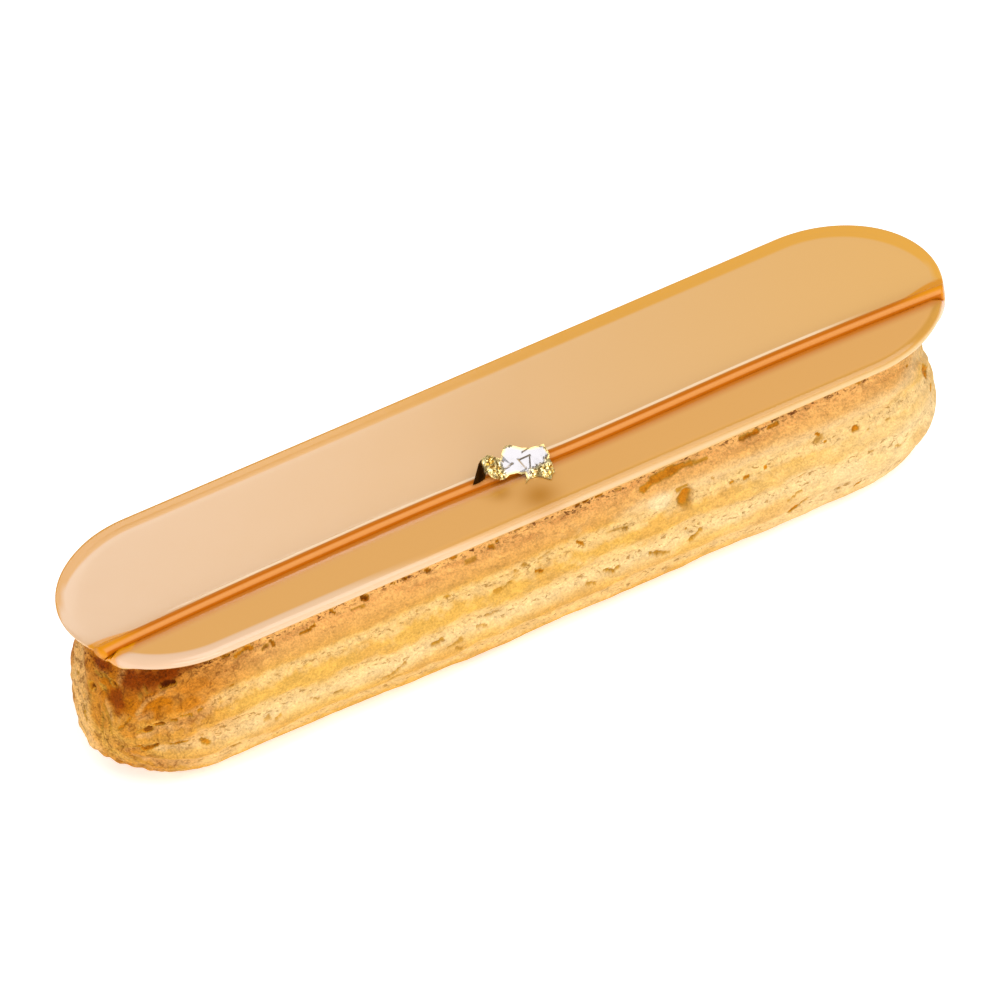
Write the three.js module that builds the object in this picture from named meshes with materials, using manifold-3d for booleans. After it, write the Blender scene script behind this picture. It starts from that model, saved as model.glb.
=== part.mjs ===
// A caramel glazed eclair with a caramel strand and a flake of gold leaf.
// Millimetres. X runs along the eclair, -Y is its front, Z is up, and the base rests on Z = 0.
import * as THREE from "three";
import { mergeVertices } from "three/addons/utils/BufferGeometryUtils.js";
import Module from "manifold-3d";

const wasm = await Module();
wasm.setup();

const GAP = 0.3; // air kept between pieces that touch

// Choux shell: a long loaf, widest below its middle, with a flat base and a flat seat for the glaze.
const SHELL_HEIGHT = 23.1;
const SHELL_LENGTH = 135.4;
const SHELL_HALF_WIDTH = 15.5;
const SHELL_MIDDLE_X = -2.5; // the glaze was laid a little off centre
const SHELL_MIDDLE_Y = -0.8;
const WIDEST_Z = 8.8;
const TOP_INSET = 3.8;
const BASE_INSET = 7;
const BASE_ROUNDNESS = 2.2;
const AXIS_Z = 11.5;
const CAP_CENTRE = SHELL_LENGTH / 2 - SHELL_HALF_WIDTH; // from the middle to where an end cap starts
const LEFT_POLE = new THREE.Vector3(-16.4, -7.2, 8.6); // where the piped ridges meet, from the cap's centre
const RIGHT_POLE = new THREE.Vector3(16.4, 2, 9.5);

// Piped ridges: the angle in degrees from one crest to the next, and of one above the horizontal.
const CREST_PITCH = 20.5;
const FIRST_CREST = 3.5;
const RIDGE_DEPTH = 0.65;
const BLISTER_HEIGHT = 0.16;

const CAP_RINGS = 7;
const BODY_RINGS = 34;
const WALL_STEPS = 24; // around one side wall
const FLAT_STEPS = 7; // across the top, and across the base
const WALL_LOW_ANGLE = -54;
const WALL_HIGH_ANGLE = 45;

// Burst bubbles and splits in the front wall: middle, length, height and depth.
const PITS = [
  { x: 20.7, z: 15.6, long: 3.1, tall: 2.8, deep: 1.3 },
  { x: 20.5, z: 19.8, long: 11.0, tall: 1.5, deep: 1.2 },
  { x: 32.9, z: 20.1, long: 2.7, tall: 1.4, deep: 1.1 },
  { x: 48.0, z: 14.4, long: 1.3, tall: 1.3, deep: 0.9 },
  { x: -28.6, z: 20.3, long: 1.2, tall: 1.1, deep: 0.9 },
  { x: -60.5, z: 19.5, long: 2.3, tall: 1.1, deep: 1.0 },
  { x: 37.2, z: 5.6, long: 3.3, tall: 0.9, deep: 0.8 },
  { x: -26.2, z: 7.5, long: 3.0, tall: 0.9, deep: 0.7 },
  { x: 15.5, z: 8.4, long: 2.8, tall: 0.8, deep: 0.7 },
];

// Glaze: one flat plaque with rounded edges, its front strip sloping a little to the front.
const GLAZE_LENGTH = 140;
const GLAZE_WIDTH = 34.6;
const GLAZE_THICK = 2.4;
const GLAZE_MIDDLE_X = 0.35;
const GLAZE_BOTTOM_Z = SHELL_HEIGHT + GAP;
const GLAZE_TOP_Z = GLAZE_BOTTOM_Z + GLAZE_THICK;
const GLAZE_EDGE_RADIUS = 1.1;
const GLAZE_END_STEPS = 20;
const FRONT_SLOPE = 0.06; // drop for each millimetre towards the front
const FRONT_SLOPE_START_Y = -9;

// Strand: a round thread of caramel lying in a groove of the glaze, from one rim to the other.
const STRAND_RADIUS = 1;
const STRAND_SIDES = 12;
const STRAND_STEPS = 28;
const STRAND_AXIS_Z = GLAZE_TOP_Z + 0.05;
const STRAND_END_DROP = 0.45;
const STRAND_LENGTH = 137;
const STRAND_BOW = [
  [-0.5, -8.2],
  [-0.3, -7.3],
  [-0.1, -7.0],
  [0.06, -7.9],
  [0.3, -7.8],
  [0.5, -8.3],
]; // share of the length, and Y

// Gold leaf: a crumpled flake lying over the strand at its middle.
const LEAF_LENGTH = 12;
const LEAF_DEPTH = 5.8;
const LEAF_MIDDLE_X = -1;
const LEAF_MIDDLE_Y = -8.3;
const LEAF_SKEW = 0.22; // its right end lies further forward
const LEAF_MIDDLE_Z = 27.75;
const LEAF_RISE = 0.42; // climb for each millimetre towards the back
const LEAF_FOLD = 0.55;
const LEAF_THICK = 0.3;
const LEAF_COLUMNS = 12;
const LEAF_ROWS = 6;

const radians = THREE.MathUtils.degToRad;

// A closed mesh as a solid, and a solid as a mesh's geometry.
function solidFrom(geometry) {
  const bare = geometry.index ? geometry.toNonIndexed() : geometry.clone();
  bare.deleteAttribute("normal");
  bare.deleteAttribute("uv");
  const merged = mergeVertices(bare, 1e-4);
  return new wasm.Manifold(
    new wasm.Mesh({
      numProp: 3,
      vertProperties: merged.attributes.position.array,
      triVerts: new Uint32Array(merged.index.array),
    }),
  );
}

function geometryFrom(solid) {
  const mesh = solid.getMesh();
  const geometry = new THREE.BufferGeometry();
  geometry.setAttribute("position", new THREE.BufferAttribute(mesh.vertProperties, 3));
  geometry.setIndex(new THREE.BufferAttribute(mesh.triVerts, 1));
  geometry.computeVertexNormals();
  return geometry;
}

// How far the wall at a height stands in from the widest outline.
function wallInset(z) {
  if (z > WIDEST_Z) {
    return TOP_INSET * ((z - WIDEST_Z) / (SHELL_HEIGHT - WIDEST_Z)) ** 2;
  }
  const down = Math.min((WIDEST_Z - z) / WIDEST_Z, 1);
  return BASE_INSET * (1 - Math.sqrt(1 - down ** BASE_ROUNDNESS));
}

// Whether a point, measured from the shell's middle, lies inside the plain loaf without its ridges.
function insideLoaf(point) {
  if (point.z < 0 || point.z > SHELL_HEIGHT) {
    return false;
  }
  const past = Math.max(Math.abs(point.x) - CAP_CENTRE, 0);
  return Math.hypot(past, point.y) < SHELL_HALF_WIDTH - wallInset(point.z);
}

// The distance along a ray from inside the loaf to its surface, found by halving.
function reach(origin, direction) {
  let near = 0;
  let far = 40;
  const probe = new THREE.Vector3();
  for (let step = 0; step < 30; step += 1) {
    const middle = (near + far) / 2;
    probe.copy(direction).multiplyScalar(middle).add(origin);
    if (insideLoaf(probe)) {
      near = middle;
    } else {
      far = middle;
    }
  }
  return near;
}

// 0 on a ridge's crest and 1 at the bottom of a valley, at an angle in degrees from -90 to 270.
function valleyDepth(angle) {
  const above = angle > 90 ? 180 - angle : angle;
  return (1 - Math.cos((2 * Math.PI * (above - FIRST_CREST)) / CREST_PITCH)) / 2;
}

// The uneven swell of the baked crust, between -1 and 1.
function blister(point) {
  const along = Math.sin(point.x * 0.61 + Math.sin(point.z * 0.7) * 1.3);
  const around = Math.sin(point.z * 0.93 + point.y * 0.57 + Math.sin(point.x * 0.23) * 2.1);
  return (along + around) / 2;
}

// Angles around the shell in degrees, from -90 at the base's middle: close on the walls, wide on the flats.
function ringAngles() {
  const spans = [
    [-90, WALL_LOW_ANGLE, FLAT_STEPS / 2],
    [WALL_LOW_ANGLE, WALL_HIGH_ANGLE, WALL_STEPS],
    [WALL_HIGH_ANGLE, 180 - WALL_HIGH_ANGLE, FLAT_STEPS],
    [180 - WALL_HIGH_ANGLE, 180 - WALL_LOW_ANGLE, WALL_STEPS],
    [180 - WALL_LOW_ANGLE, 270, FLAT_STEPS / 2],
  ];
  return spans.flatMap(([from, to, count]) => {
    const steps = Math.ceil(count);
    return Array.from({ length: steps }, (_, i) => from + ((to - from) * i) / steps);
  });
}

// A point of the ridged surface, along a ray from a place on the shell's axis.
function shellPoint(origin, direction, angle, ridgeShare) {
  const distance = reach(origin, direction);
  const point = direction.clone().multiplyScalar(distance).add(origin);
  const onWall = THREE.MathUtils.smoothstep(point.z, 0.05, 1.5) * (point.z < SHELL_HEIGHT - 0.01 ? 1 : 0);
  const relief = BLISTER_HEIGHT * blister(point) - RIDGE_DEPTH * ridgeShare * valleyDepth(angle);
  return point.addScaledVector(direction, relief * onWall);
}

// Rings of points from the left pole to the right pole.
function shellRings() {
  const angles = ringAngles();
  const around = angles.map((angle) => {
    return new THREE.Vector3(0, -Math.cos(radians(angle)), Math.sin(radians(angle)));
  });
  const rings = [];
  const addCapRing = (side, pole, turn) => {
    const origin = new THREE.Vector3(side * CAP_CENTRE, 0, AXIS_Z);
    const toPole = pole.clone().sub(new THREE.Vector3(0, 0, AXIS_Z)).normalize();
    const ridgeShare = Math.min(1, 0.25 + 1.1 * Math.sin(turn));
    rings.push(
      angles.map((angle, i) => {
        const direction = toPole.clone().multiplyScalar(Math.cos(turn));
        direction.addScaledVector(around[i], Math.sin(turn)).normalize();
        return shellPoint(origin, direction, angle, ridgeShare);
      }),
    );
  };
  for (let ring = 1; ring <= CAP_RINGS; ring += 1) {
    addCapRing(-1, LEFT_POLE, (Math.PI / 2) * (ring / (CAP_RINGS + 1)));
  }
  for (let ring = 0; ring <= BODY_RINGS; ring += 1) {
    const x = CAP_CENTRE * ((2 * ring) / BODY_RINGS - 1);
    const origin = new THREE.Vector3(x, 0, AXIS_Z);
    rings.push(angles.map((angle, i) => shellPoint(origin, around[i], angle, 1)));
  }
  for (let ring = CAP_RINGS; ring >= 1; ring -= 1) {
    addCapRing(1, RIGHT_POLE, (Math.PI / 2) * (ring / (CAP_RINGS + 1)));
  }
  return rings;
}

// The tip of an end, where all the ridges meet.
function shellTip(side, pole) {
  const origin = new THREE.Vector3(side * CAP_CENTRE, 0, AXIS_Z);
  const direction = pole.clone().sub(new THREE.Vector3(0, 0, AXIS_Z)).normalize();
  return direction.multiplyScalar(reach(origin, direction)).add(origin);
}

function shellGeometry() {
  const rings = shellRings();
  const count = rings[0].length;
  const points = [shellTip(-1, LEFT_POLE), ...rings.flat(), shellTip(1, RIGHT_POLE)];
  const last = points.length - 1;
  const faces = [];
  for (let i = 0; i < count; i += 1) {
    const j = (i + 1) % count;
    faces.push(0, 1 + i, 1 + j);
    for (let ring = 0; ring < rings.length - 1; ring += 1) {
      const here = 1 + ring * count;
      const there = here + count;
      faces.push(here + i, there + j, here + j, here + i, there + i, there + j);
    }
    const end = 1 + (rings.length - 1) * count;
    faces.push(end + j, end + i, last);
  }
  const geometry = new THREE.BufferGeometry().setFromPoints(points);
  geometry.setIndex(faces);
  return geometry;
}

// The Y of the plain front wall at a place along the shell and a height.
function frontWallY(x, z) {
  const past = Math.max(Math.abs(x) - CAP_CENTRE, 0);
  return -Math.sqrt((SHELL_HALF_WIDTH - wallInset(z)) ** 2 - past ** 2);
}

function chouxShell() {
  let solid = solidFrom(shellGeometry());
  for (const pit of PITS) {
    const hollow = new THREE.SphereGeometry(0.5, 10, 8);
    hollow.scale(pit.long, 2 * pit.deep, pit.tall);
    hollow.translate(pit.x - SHELL_MIDDLE_X, frontWallY(pit.x - SHELL_MIDDLE_X, pit.z) + 0.3, pit.z);
    solid = solid.subtract(solidFrom(hollow));
  }
  const mesh = new THREE.Mesh(
    geometryFrom(solid),
    new THREE.MeshStandardMaterial({ color: 0xeeb063, roughness: 0.85, metalness: 0 }),
  );
  mesh.name = "choux_shell";
  mesh.position.set(SHELL_MIDDLE_X, SHELL_MIDDLE_Y, 0);
  return mesh;
}

// The strand's middle line, which droops over the rims at both ends.
function strandPath() {
  const points = STRAND_BOW.map(([share, y]) => {
    const drop = STRAND_END_DROP * (2 * Math.abs(share)) ** 8;
    return new THREE.Vector3(GLAZE_MIDDLE_X + share * STRAND_LENGTH, y, STRAND_AXIS_Z - drop);
  });
  return new THREE.CatmullRomCurve3(points, false, "centripetal");
}

// A round thread of a radius along the strand's middle line, made longer at both ends by a margin.
function threadGeometry(radius, margin) {
  const section = new THREE.Shape().absarc(0, 0, radius, 0, 2 * Math.PI);
  const path = strandPath();
  const outwards = [-1, 1].map((side) => new THREE.Vector3(side * margin, 0, 0));
  if (margin > 0) {
    path.points.unshift(path.points[0].clone().add(outwards[0]));
    path.points.push(path.points[path.points.length - 1].clone().add(outwards[1]));
  }
  return new THREE.ExtrudeGeometry(section, {
    steps: STRAND_STEPS,
    curveSegments: STRAND_SIDES,
    extrudePath: path,
  });
}

function caramelStrand() {
  const mesh = new THREE.Mesh(
    threadGeometry(STRAND_RADIUS, 0),
    new THREE.MeshStandardMaterial({ color: 0xd07a1e, roughness: 0.12, metalness: 0 }),
  );
  mesh.name = "caramel_strand";
  return mesh;
}

// The outline of the glaze seen from above: two straight sides and two round ends.
function glazeOutline(inset) {
  const radius = GLAZE_WIDTH / 2 - inset;
  const end = (GLAZE_LENGTH - GLAZE_WIDTH) / 2;
  const shape = new THREE.Shape();
  shape.absarc(end, 0, radius, -Math.PI / 2, Math.PI / 2);
  shape.absarc(-end, 0, radius, Math.PI / 2, (3 * Math.PI) / 2);
  shape.closePath();
  return shape;
}

function glazePlaque() {
  const slab = new THREE.ExtrudeGeometry(glazeOutline(GLAZE_EDGE_RADIUS), {
    depth: GLAZE_THICK - 2 * GLAZE_EDGE_RADIUS,
    curveSegments: GLAZE_END_STEPS,
    bevelThickness: GLAZE_EDGE_RADIUS,
    bevelSize: GLAZE_EDGE_RADIUS,
    bevelSegments: 4,
  });
  slab.translate(GLAZE_MIDDLE_X, 0, GLAZE_BOTTOM_Z + GLAZE_EDGE_RADIUS);
  const groove = threadGeometry(STRAND_RADIUS + GAP, 4);
  const geometry = geometryFrom(solidFrom(slab).subtract(solidFrom(groove)));
  const position = geometry.attributes.position;
  for (let i = 0; i < position.count; i += 1) {
    const forward = Math.max(FRONT_SLOPE_START_Y - position.getY(i), 0);
    const share = (position.getZ(i) - GLAZE_BOTTOM_Z) / GLAZE_THICK;
    position.setZ(i, position.getZ(i) - forward * FRONT_SLOPE * share);
  }
  geometry.computeVertexNormals();
  const mesh = new THREE.Mesh(
    geometry,
    new THREE.MeshStandardMaterial({ color: 0xe9b877, roughness: 0.15, metalness: 0 }),
  );
  mesh.name = "glaze_plaque";
  return mesh;
}

// A zigzag between -1 and 1 that makes sharp folds.
function zigzag(turns) {
  return 4 * Math.abs(turns - Math.floor(turns + 0.5)) - 1;
}

// A point of the leaf's middle surface, at shares of its length and depth from -0.5 to 0.5.
function leafPoint(along, across) {
  const round = 1 - 0.35 * (2 * across) ** 2;
  const x = LEAF_MIDDLE_X + along * LEAF_LENGTH * round;
  const taper = 1 - 0.3 * (2 * along) ** 2;
  const y = LEAF_MIDDLE_Y + across * LEAF_DEPTH * taper - LEAF_SKEW * along * LEAF_LENGTH;
  const folds = zigzag(along * 2.4 + across * 0.9 + 0.3) + zigzag(across * 1.9 - along * 1.5);
  const z = LEAF_MIDDLE_Z + LEAF_RISE * (y - LEAF_MIDDLE_Y) + LEAF_FOLD * folds * 0.5;
  return new THREE.Vector3(x, y, z);
}

function goldLeaf() {
  const columns = LEAF_COLUMNS + 1;
  const rows = LEAF_ROWS + 1;
  const points = [];
  for (const lift of [-LEAF_THICK / 2, LEAF_THICK / 2]) {
    for (let row = 0; row < rows; row += 1) {
      for (let column = 0; column < columns; column += 1) {
        const point = leafPoint(column / LEAF_COLUMNS - 0.5, row / LEAF_ROWS - 0.5);
        point.z += lift;
        points.push(point);
      }
    }
  }
  const top = columns * rows;
  const faces = [];
  for (let row = 0; row < LEAF_ROWS; row += 1) {
    for (let column = 0; column < LEAF_COLUMNS; column += 1) {
      const a = row * columns + column;
      const b = a + 1;
      const c = a + columns;
      const d = c + 1;
      faces.push(top + a, top + b, top + d, top + a, top + d, top + c);
      faces.push(a, d, b, a, c, d);
    }
  }
  const rim = [];
  for (let column = 0; column < LEAF_COLUMNS; column += 1) rim.push(column);
  for (let row = 0; row < LEAF_ROWS; row += 1) rim.push(row * columns + LEAF_COLUMNS);
  for (let column = LEAF_COLUMNS; column > 0; column -= 1) rim.push(LEAF_ROWS * columns + column);
  for (let row = LEAF_ROWS; row > 0; row -= 1) rim.push(row * columns);
  rim.forEach((a, i) => {
    const b = rim[(i + 1) % rim.length];
    faces.push(a, b, top + b, a, top + b, top + a);
  });
  const geometry = new THREE.BufferGeometry().setFromPoints(points);
  geometry.setIndex(faces);
  geometry.computeVertexNormals();
  const mesh = new THREE.Mesh(
    geometry,
    new THREE.MeshStandardMaterial({ color: 0xf3d98a, roughness: 0.3, metalness: 1, side: THREE.DoubleSide }),
  );
  mesh.name = "gold_leaf";
  return mesh;
}

const eclair = new THREE.Group();
eclair.add(chouxShell(), glazePlaque(), caramelStrand(), goldLeaf());

export default eclair;
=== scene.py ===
"""A caramel glazed eclair: a piped choux shell under a poured caramel plaque,
with a caramel strand let into the plaque and a crumpled gold leaf on it.
Shapes are worked out in millimetres and put into meshes in metres."""

import bmesh
import bpy
import numpy as np
from mathutils import Matrix, Vector
from mathutils.geometry import delaunay_2d_cdt


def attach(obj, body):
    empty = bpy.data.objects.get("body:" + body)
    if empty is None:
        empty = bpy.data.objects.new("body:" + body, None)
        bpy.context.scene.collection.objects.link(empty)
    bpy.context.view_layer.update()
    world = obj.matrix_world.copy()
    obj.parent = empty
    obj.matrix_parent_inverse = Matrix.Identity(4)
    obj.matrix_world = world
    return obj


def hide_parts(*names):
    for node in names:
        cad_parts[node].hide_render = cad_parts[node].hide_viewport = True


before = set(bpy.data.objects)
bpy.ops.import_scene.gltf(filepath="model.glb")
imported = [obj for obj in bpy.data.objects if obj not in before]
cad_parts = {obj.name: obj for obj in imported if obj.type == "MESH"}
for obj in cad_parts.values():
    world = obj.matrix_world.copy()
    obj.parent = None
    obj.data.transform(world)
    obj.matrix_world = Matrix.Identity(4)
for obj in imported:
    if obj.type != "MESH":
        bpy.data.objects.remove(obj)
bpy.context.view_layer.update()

# The camera looks down on the glaze from the front left, rolled clockwise, from so far
# that the view is almost parallel. Its place is kept in mm in the eclair's own frame.
VIEW_AZIMUTH = np.radians(-17.335)
VIEW_ELEVATION = np.radians(39.664)
VIEW_ROLL = np.radians(12.0)
PIXELS_PER_MM = 6.934
IMAGE_PIXELS = 1000
SENSOR_MM = 36.0
CAMERA_DISTANCE_MM = 3000.0
FRAME_CENTRE = (0.35, 0.0, 24.6)
CENTRE_SHIFT_RIGHT = 1.762
CENTRE_SHIFT_UP = 7.507
CLIP_NEAR = 0.1
CLIP_FAR = 20.0
MM = 0.001


def add_object(name, data):
    """A new object in the scene, for a mesh, a lamp or a camera."""
    made = bpy.data.objects.new(name, data)
    bpy.context.scene.collection.objects.link(made)
    return made


to_camera = np.array(
    [
        np.sin(VIEW_AZIMUTH) * np.cos(VIEW_ELEVATION),
        -np.cos(VIEW_AZIMUTH) * np.cos(VIEW_ELEVATION),
        np.sin(VIEW_ELEVATION),
    ]
)
level = np.array([np.cos(VIEW_AZIMUTH), np.sin(VIEW_AZIMUTH), 0.0])
upright = np.cross(to_camera, level)
aim = np.array(FRAME_CENTRE) - CENTRE_SHIFT_RIGHT * level - CENTRE_SHIFT_UP * upright
camera_right = np.cos(VIEW_ROLL) * level - np.sin(VIEW_ROLL) * upright
camera_up = np.sin(VIEW_ROLL) * level + np.cos(VIEW_ROLL) * upright

lens = bpy.data.cameras.new("photo_camera")
lens.sensor_width = SENSOR_MM
lens.lens = SENSOR_MM * CAMERA_DISTANCE_MM * PIXELS_PER_MM / IMAGE_PIXELS
lens.clip_start = CLIP_NEAR
lens.clip_end = CLIP_FAR
camera = add_object("photo_camera", lens)
stand = np.eye(4)
stand[:3, :3] = np.stack([camera_right, camera_up, to_camera], axis=1)
stand[:3, 3] = (aim + CAMERA_DISTANCE_MM * to_camera) * MM
camera.matrix_world = Matrix(stand.tolist())
bpy.context.scene.camera = camera
bpy.context.scene.view_settings.view_transform = "Standard"


# The studio: an even white sky, a large soft key lamp overhead and a little to the
# front, a low softbox before the eclair that lights its wall under the overhang, a weak
# one off the left end, and a softbox far behind, whose reflection veils the glaze.
SKY_STRENGTH = 0.60
# Each lamp: its place and what it faces in metres, its width and height, its watts.
LAMPS = (
    ("key_lamp", (0.25, -0.44, 0.98), (0, 0, 0.02), (1.1, 0.8), 9.0),
    ("front_lamp", (-0.25, -1.3, 0.38), (0, 0, 0.015), (1.0, 0.45), 7.2),
    ("fill_lamp", (-0.6, 0.30, 0.12), (-0.07, 0, 0.01), (0.25, 0.2), 1.1),
    ("veil_softbox", (-0.02832, 0.98324, 0.75824), (0, 0, 0.025), (0.62, 0.20), 1.3),
)

sky = bpy.data.worlds.new("studio_sky")
sky.use_nodes = True
sky.node_tree.nodes["Background"].inputs["Color"].default_value = (1, 1, 1, 1)
sky.node_tree.nodes["Background"].inputs["Strength"].default_value = SKY_STRENGTH
bpy.context.scene.world = sky


def soft_lamp(name, place, target, size, watts):
    """A rectangular area lamp at a place in metres, facing a target."""
    lamp = bpy.data.lights.new(name, "AREA")
    lamp.shape = "RECTANGLE"
    lamp.size, lamp.size_y = size
    lamp.energy = watts
    away = np.array(place, float) - np.array(target, float)
    away /= np.linalg.norm(away)
    side = np.cross((0, 0, 1), away)
    side /= np.linalg.norm(side)
    pose = np.eye(4)
    pose[:3, :3] = np.stack([side, np.cross(away, side), away], axis=1)
    pose[:3, 3] = place
    add_object(name, lamp).matrix_world = Matrix(pose.tolist())


for lamp_row in LAMPS:
    soft_lamp(*lamp_row)


# The floor is a white light table, lit faintly from below so that the shadow on it stays
# pale. It only carries the eclair, so it is staging.
FLOOR_HALF = 2.0
FLOOR_DROP = 0.00005
FLOOR_WHITE = "#FBFAF9"
FLOOR_GLOW = 0.42
FLOOR_ROUGHNESS = 0.9


def linear(hex_colour):
    """Linear light of an sRGB hex colour, each channel from 0 to 1."""
    share = np.array([int(hex_colour[i : i + 2], 16) for i in (1, 3, 5)]) / 255
    return np.where(share > 0.04045, ((share + 0.055) / 1.055) ** 2.4, share / 12.92)


def rgba(colour):
    """A hex colour as a colour socket takes it. A node's output stays as it is."""
    return (*linear(colour), 1.0) if isinstance(colour, str) else colour


def fill_sockets(tree, node, inputs):
    """Gives sockets of a node, by name or number, a value or another node's output."""
    for socket, value in inputs.items():
        if isinstance(value, bpy.types.NodeSocket):
            tree.links.new(value, node.inputs[socket])
        else:
            node.inputs[socket].default_value = value


def new_material(name):
    """A material, its node tree and its shader."""
    made = bpy.data.materials.new(name)
    made.use_nodes = True
    return made, made.node_tree, made.node_tree.nodes["Principled BSDF"]


floor_mesh = bpy.data.meshes.new("floor")
floor_mesh.from_pydata(
    [
        (right * FLOOR_HALF, back * FLOOR_HALF, -FLOOR_DROP)
        for right, back in ((-1, -1), (1, -1), (1, 1), (-1, 1))
    ],
    [],
    [(0, 1, 2, 3)],
)
floor = add_object("floor", floor_mesh)
opal, tree, sheet_face = new_material("lit_opal_acrylic")
sheet_inputs = {
    "Base Color": rgba(FLOOR_WHITE),
    "Emission Color": rgba(FLOOR_WHITE),
    "Emission Strength": FLOOR_GLOW,
    "Roughness": FLOOR_ROUGHNESS,
}
fill_sockets(tree, sheet_face, sheet_inputs)
floor_mesh.materials.append(opal)


# The choux shell is one piped finger of choux paste. The star nozzle left lengthwise
# ridges, which run together at the two ends. The oven dried the ridges to a smooth
# golden crust, tore the valleys open into pale crumb, and browned the left end.
SHELL_MIDDLE = np.array([-2.5, -0.8, 0.0])
SHELL_HALF_LENGTH = 67.7
SHELL_HALF_WIDTH = 15.5
SHELL_HEIGHT = 23.1
WIDEST_Z = 8.8
TOP_INSET = 3.8
BASE_INSET = 7.0
BASE_ROUNDNESS = 2.2
SHELL_LEFT_X = -70.25
AXIS_Z = 11.5
CAP_CENTRE = SHELL_HALF_LENGTH - SHELL_HALF_WIDTH
LEFT_POLE = np.array([-16.4, -7.2, 8.6 - AXIS_Z])
RIGHT_POLE = np.array([16.4, 2.0, 9.5 - AXIS_Z])
CAP_RINGS = 66
BODY_RINGS = 430
WALL_LOW = -54.0
WALL_HIGH = 47.0
WALL_STEPS = 100
FLAT_STEPS = 9
BACK_STEPS = 49
FIRST_CREST = 3.5
CREST_PITCH = 20.5
RIDGE_DEPTH = 0.65
NOISE_CELLS = 64
# The lower left end bulges over the tray, the foot draws in at the left, and the right
# end stands straighter than the left one.
BULGE = (-69.0, -1.0, 6.0)
BULGE_REACH = 3.4
BULGE_OUT = 1.2
FOOT_IN = 0.50
RIGHT_OUT = 0.7
# How far the crust's own unevenness stands out in mm, from coarse to fine.
SWELL_OUT = 0.16
BLISTER_OUT = 0.09
CRUMB_OUT = 0.08
FLAKE_OUT = 0.05
TORN_OUT = 0.10
FOLD_OUT = 0.25
# The search for the plain shell's surface along each ray.
SEARCH_MM = 40.0
SEARCH_STEPS = 40


def ring_grid(rows, columns):
    """Corner numbers of the quads between rows of closed rings of points."""
    row = np.arange(rows - 1)[:, None] * columns
    column = np.arange(columns)[None, :]
    following = (column + 1) % columns
    below = row + columns
    corners = [row + column, row + following, below + following, below + column]
    return np.stack(corners, axis=-1).reshape(-1, 4)


def keep_marks(mesh, marks):
    """Keeps a number at each point of a mesh, for each named mark."""
    for mark, values in marks.items():
        layer = mesh.attributes.new(mark, "FLOAT", "POINT")
        layer.data.foreach_set("value", np.asarray(values, np.float32).ravel())


def surface(name, points, quads, marks):
    """A mesh object from points in mm and quads of their numbers. Points that coincide
    are merged, faces are turned outwards, and marks are numbers kept at each point."""
    mesh = bpy.data.meshes.new(name)
    mesh.vertices.add(len(points))
    mesh.vertices.foreach_set("co", (points * MM).astype(np.float32).ravel())
    mesh.loops.add(quads.size)
    mesh.loops.foreach_set("vertex_index", quads.astype(np.int32).ravel())
    mesh.polygons.add(len(quads))
    mesh.polygons.foreach_set("loop_start", np.arange(0, quads.size, 4, dtype=np.int32))
    mesh.update(calc_edges=True)
    keep_marks(mesh, marks)
    shape = bmesh.new()
    shape.from_mesh(mesh)
    bmesh.ops.remove_doubles(shape, verts=shape.verts, dist=1e-7)
    bmesh.ops.recalc_face_normals(shape, faces=shape.faces)
    shape.to_mesh(mesh)
    shape.free()
    mesh.shade_smooth()
    return add_object(name, mesh)


def lattice_noise(points, pitch, seed):
    """Smooth noise from -1 to 1: random values on a cubic lattice of the given pitch in
    mm, blended between the eight corners round a point by 6t^5 - 15t^4 + 10t^3."""
    values = np.random.default_rng(seed).uniform(-1, 1, (NOISE_CELLS,) * 3)
    lattice = points / np.asarray(pitch, float)
    low = np.floor(lattice).astype(int)
    t = lattice - low
    t = t * t * t * (t * (t * 6 - 15) + 10)
    total = np.zeros(points.shape[:-1])
    for corner_step in np.ndindex(2, 2, 2):
        step = np.array(corner_step)
        share = np.prod(np.where(step == 1, t, 1 - t), axis=-1)
        i, j, k = np.moveaxis((low + step) % NOISE_CELLS, -1, 0)
        total += share * values[i, j, k]
    return total


def ease(value, start, end):
    """A smooth step from 0 at start to 1 at end."""
    t = np.clip((value - start) / (end - start), 0, 1)
    return t * t * (3 - 2 * t)


def wall_inset(z):
    """How far the wall stands in from its widest outline at height z: it leans in by
    the square of the height above the widest level, and rounds under by a
    superellipse below it."""
    above = TOP_INSET * (np.maximum(z - WIDEST_Z, 0) / (SHELL_HEIGHT - WIDEST_Z)) ** 2
    drop = np.clip((WIDEST_Z - z) / WIDEST_Z, 0, 1)
    return above + BASE_INSET * (1 - np.sqrt(1 - drop**BASE_ROUNDNESS))


def outside_shell(points):
    """Above zero outside the plain shell, which is a stadium outline taken in by
    wall_inset and cut level at its base and top."""
    x, y, z = np.moveaxis(points, -1, 0)
    outline = np.hypot(np.maximum(abs(x) - CAP_CENTRE, 0), y) - SHELL_HALF_WIDTH
    level_z = np.clip(z, 0, SHELL_HEIGHT)
    return np.maximum(outline + wall_inset(level_z), np.maximum(-z, z - SHELL_HEIGHT))


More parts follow.
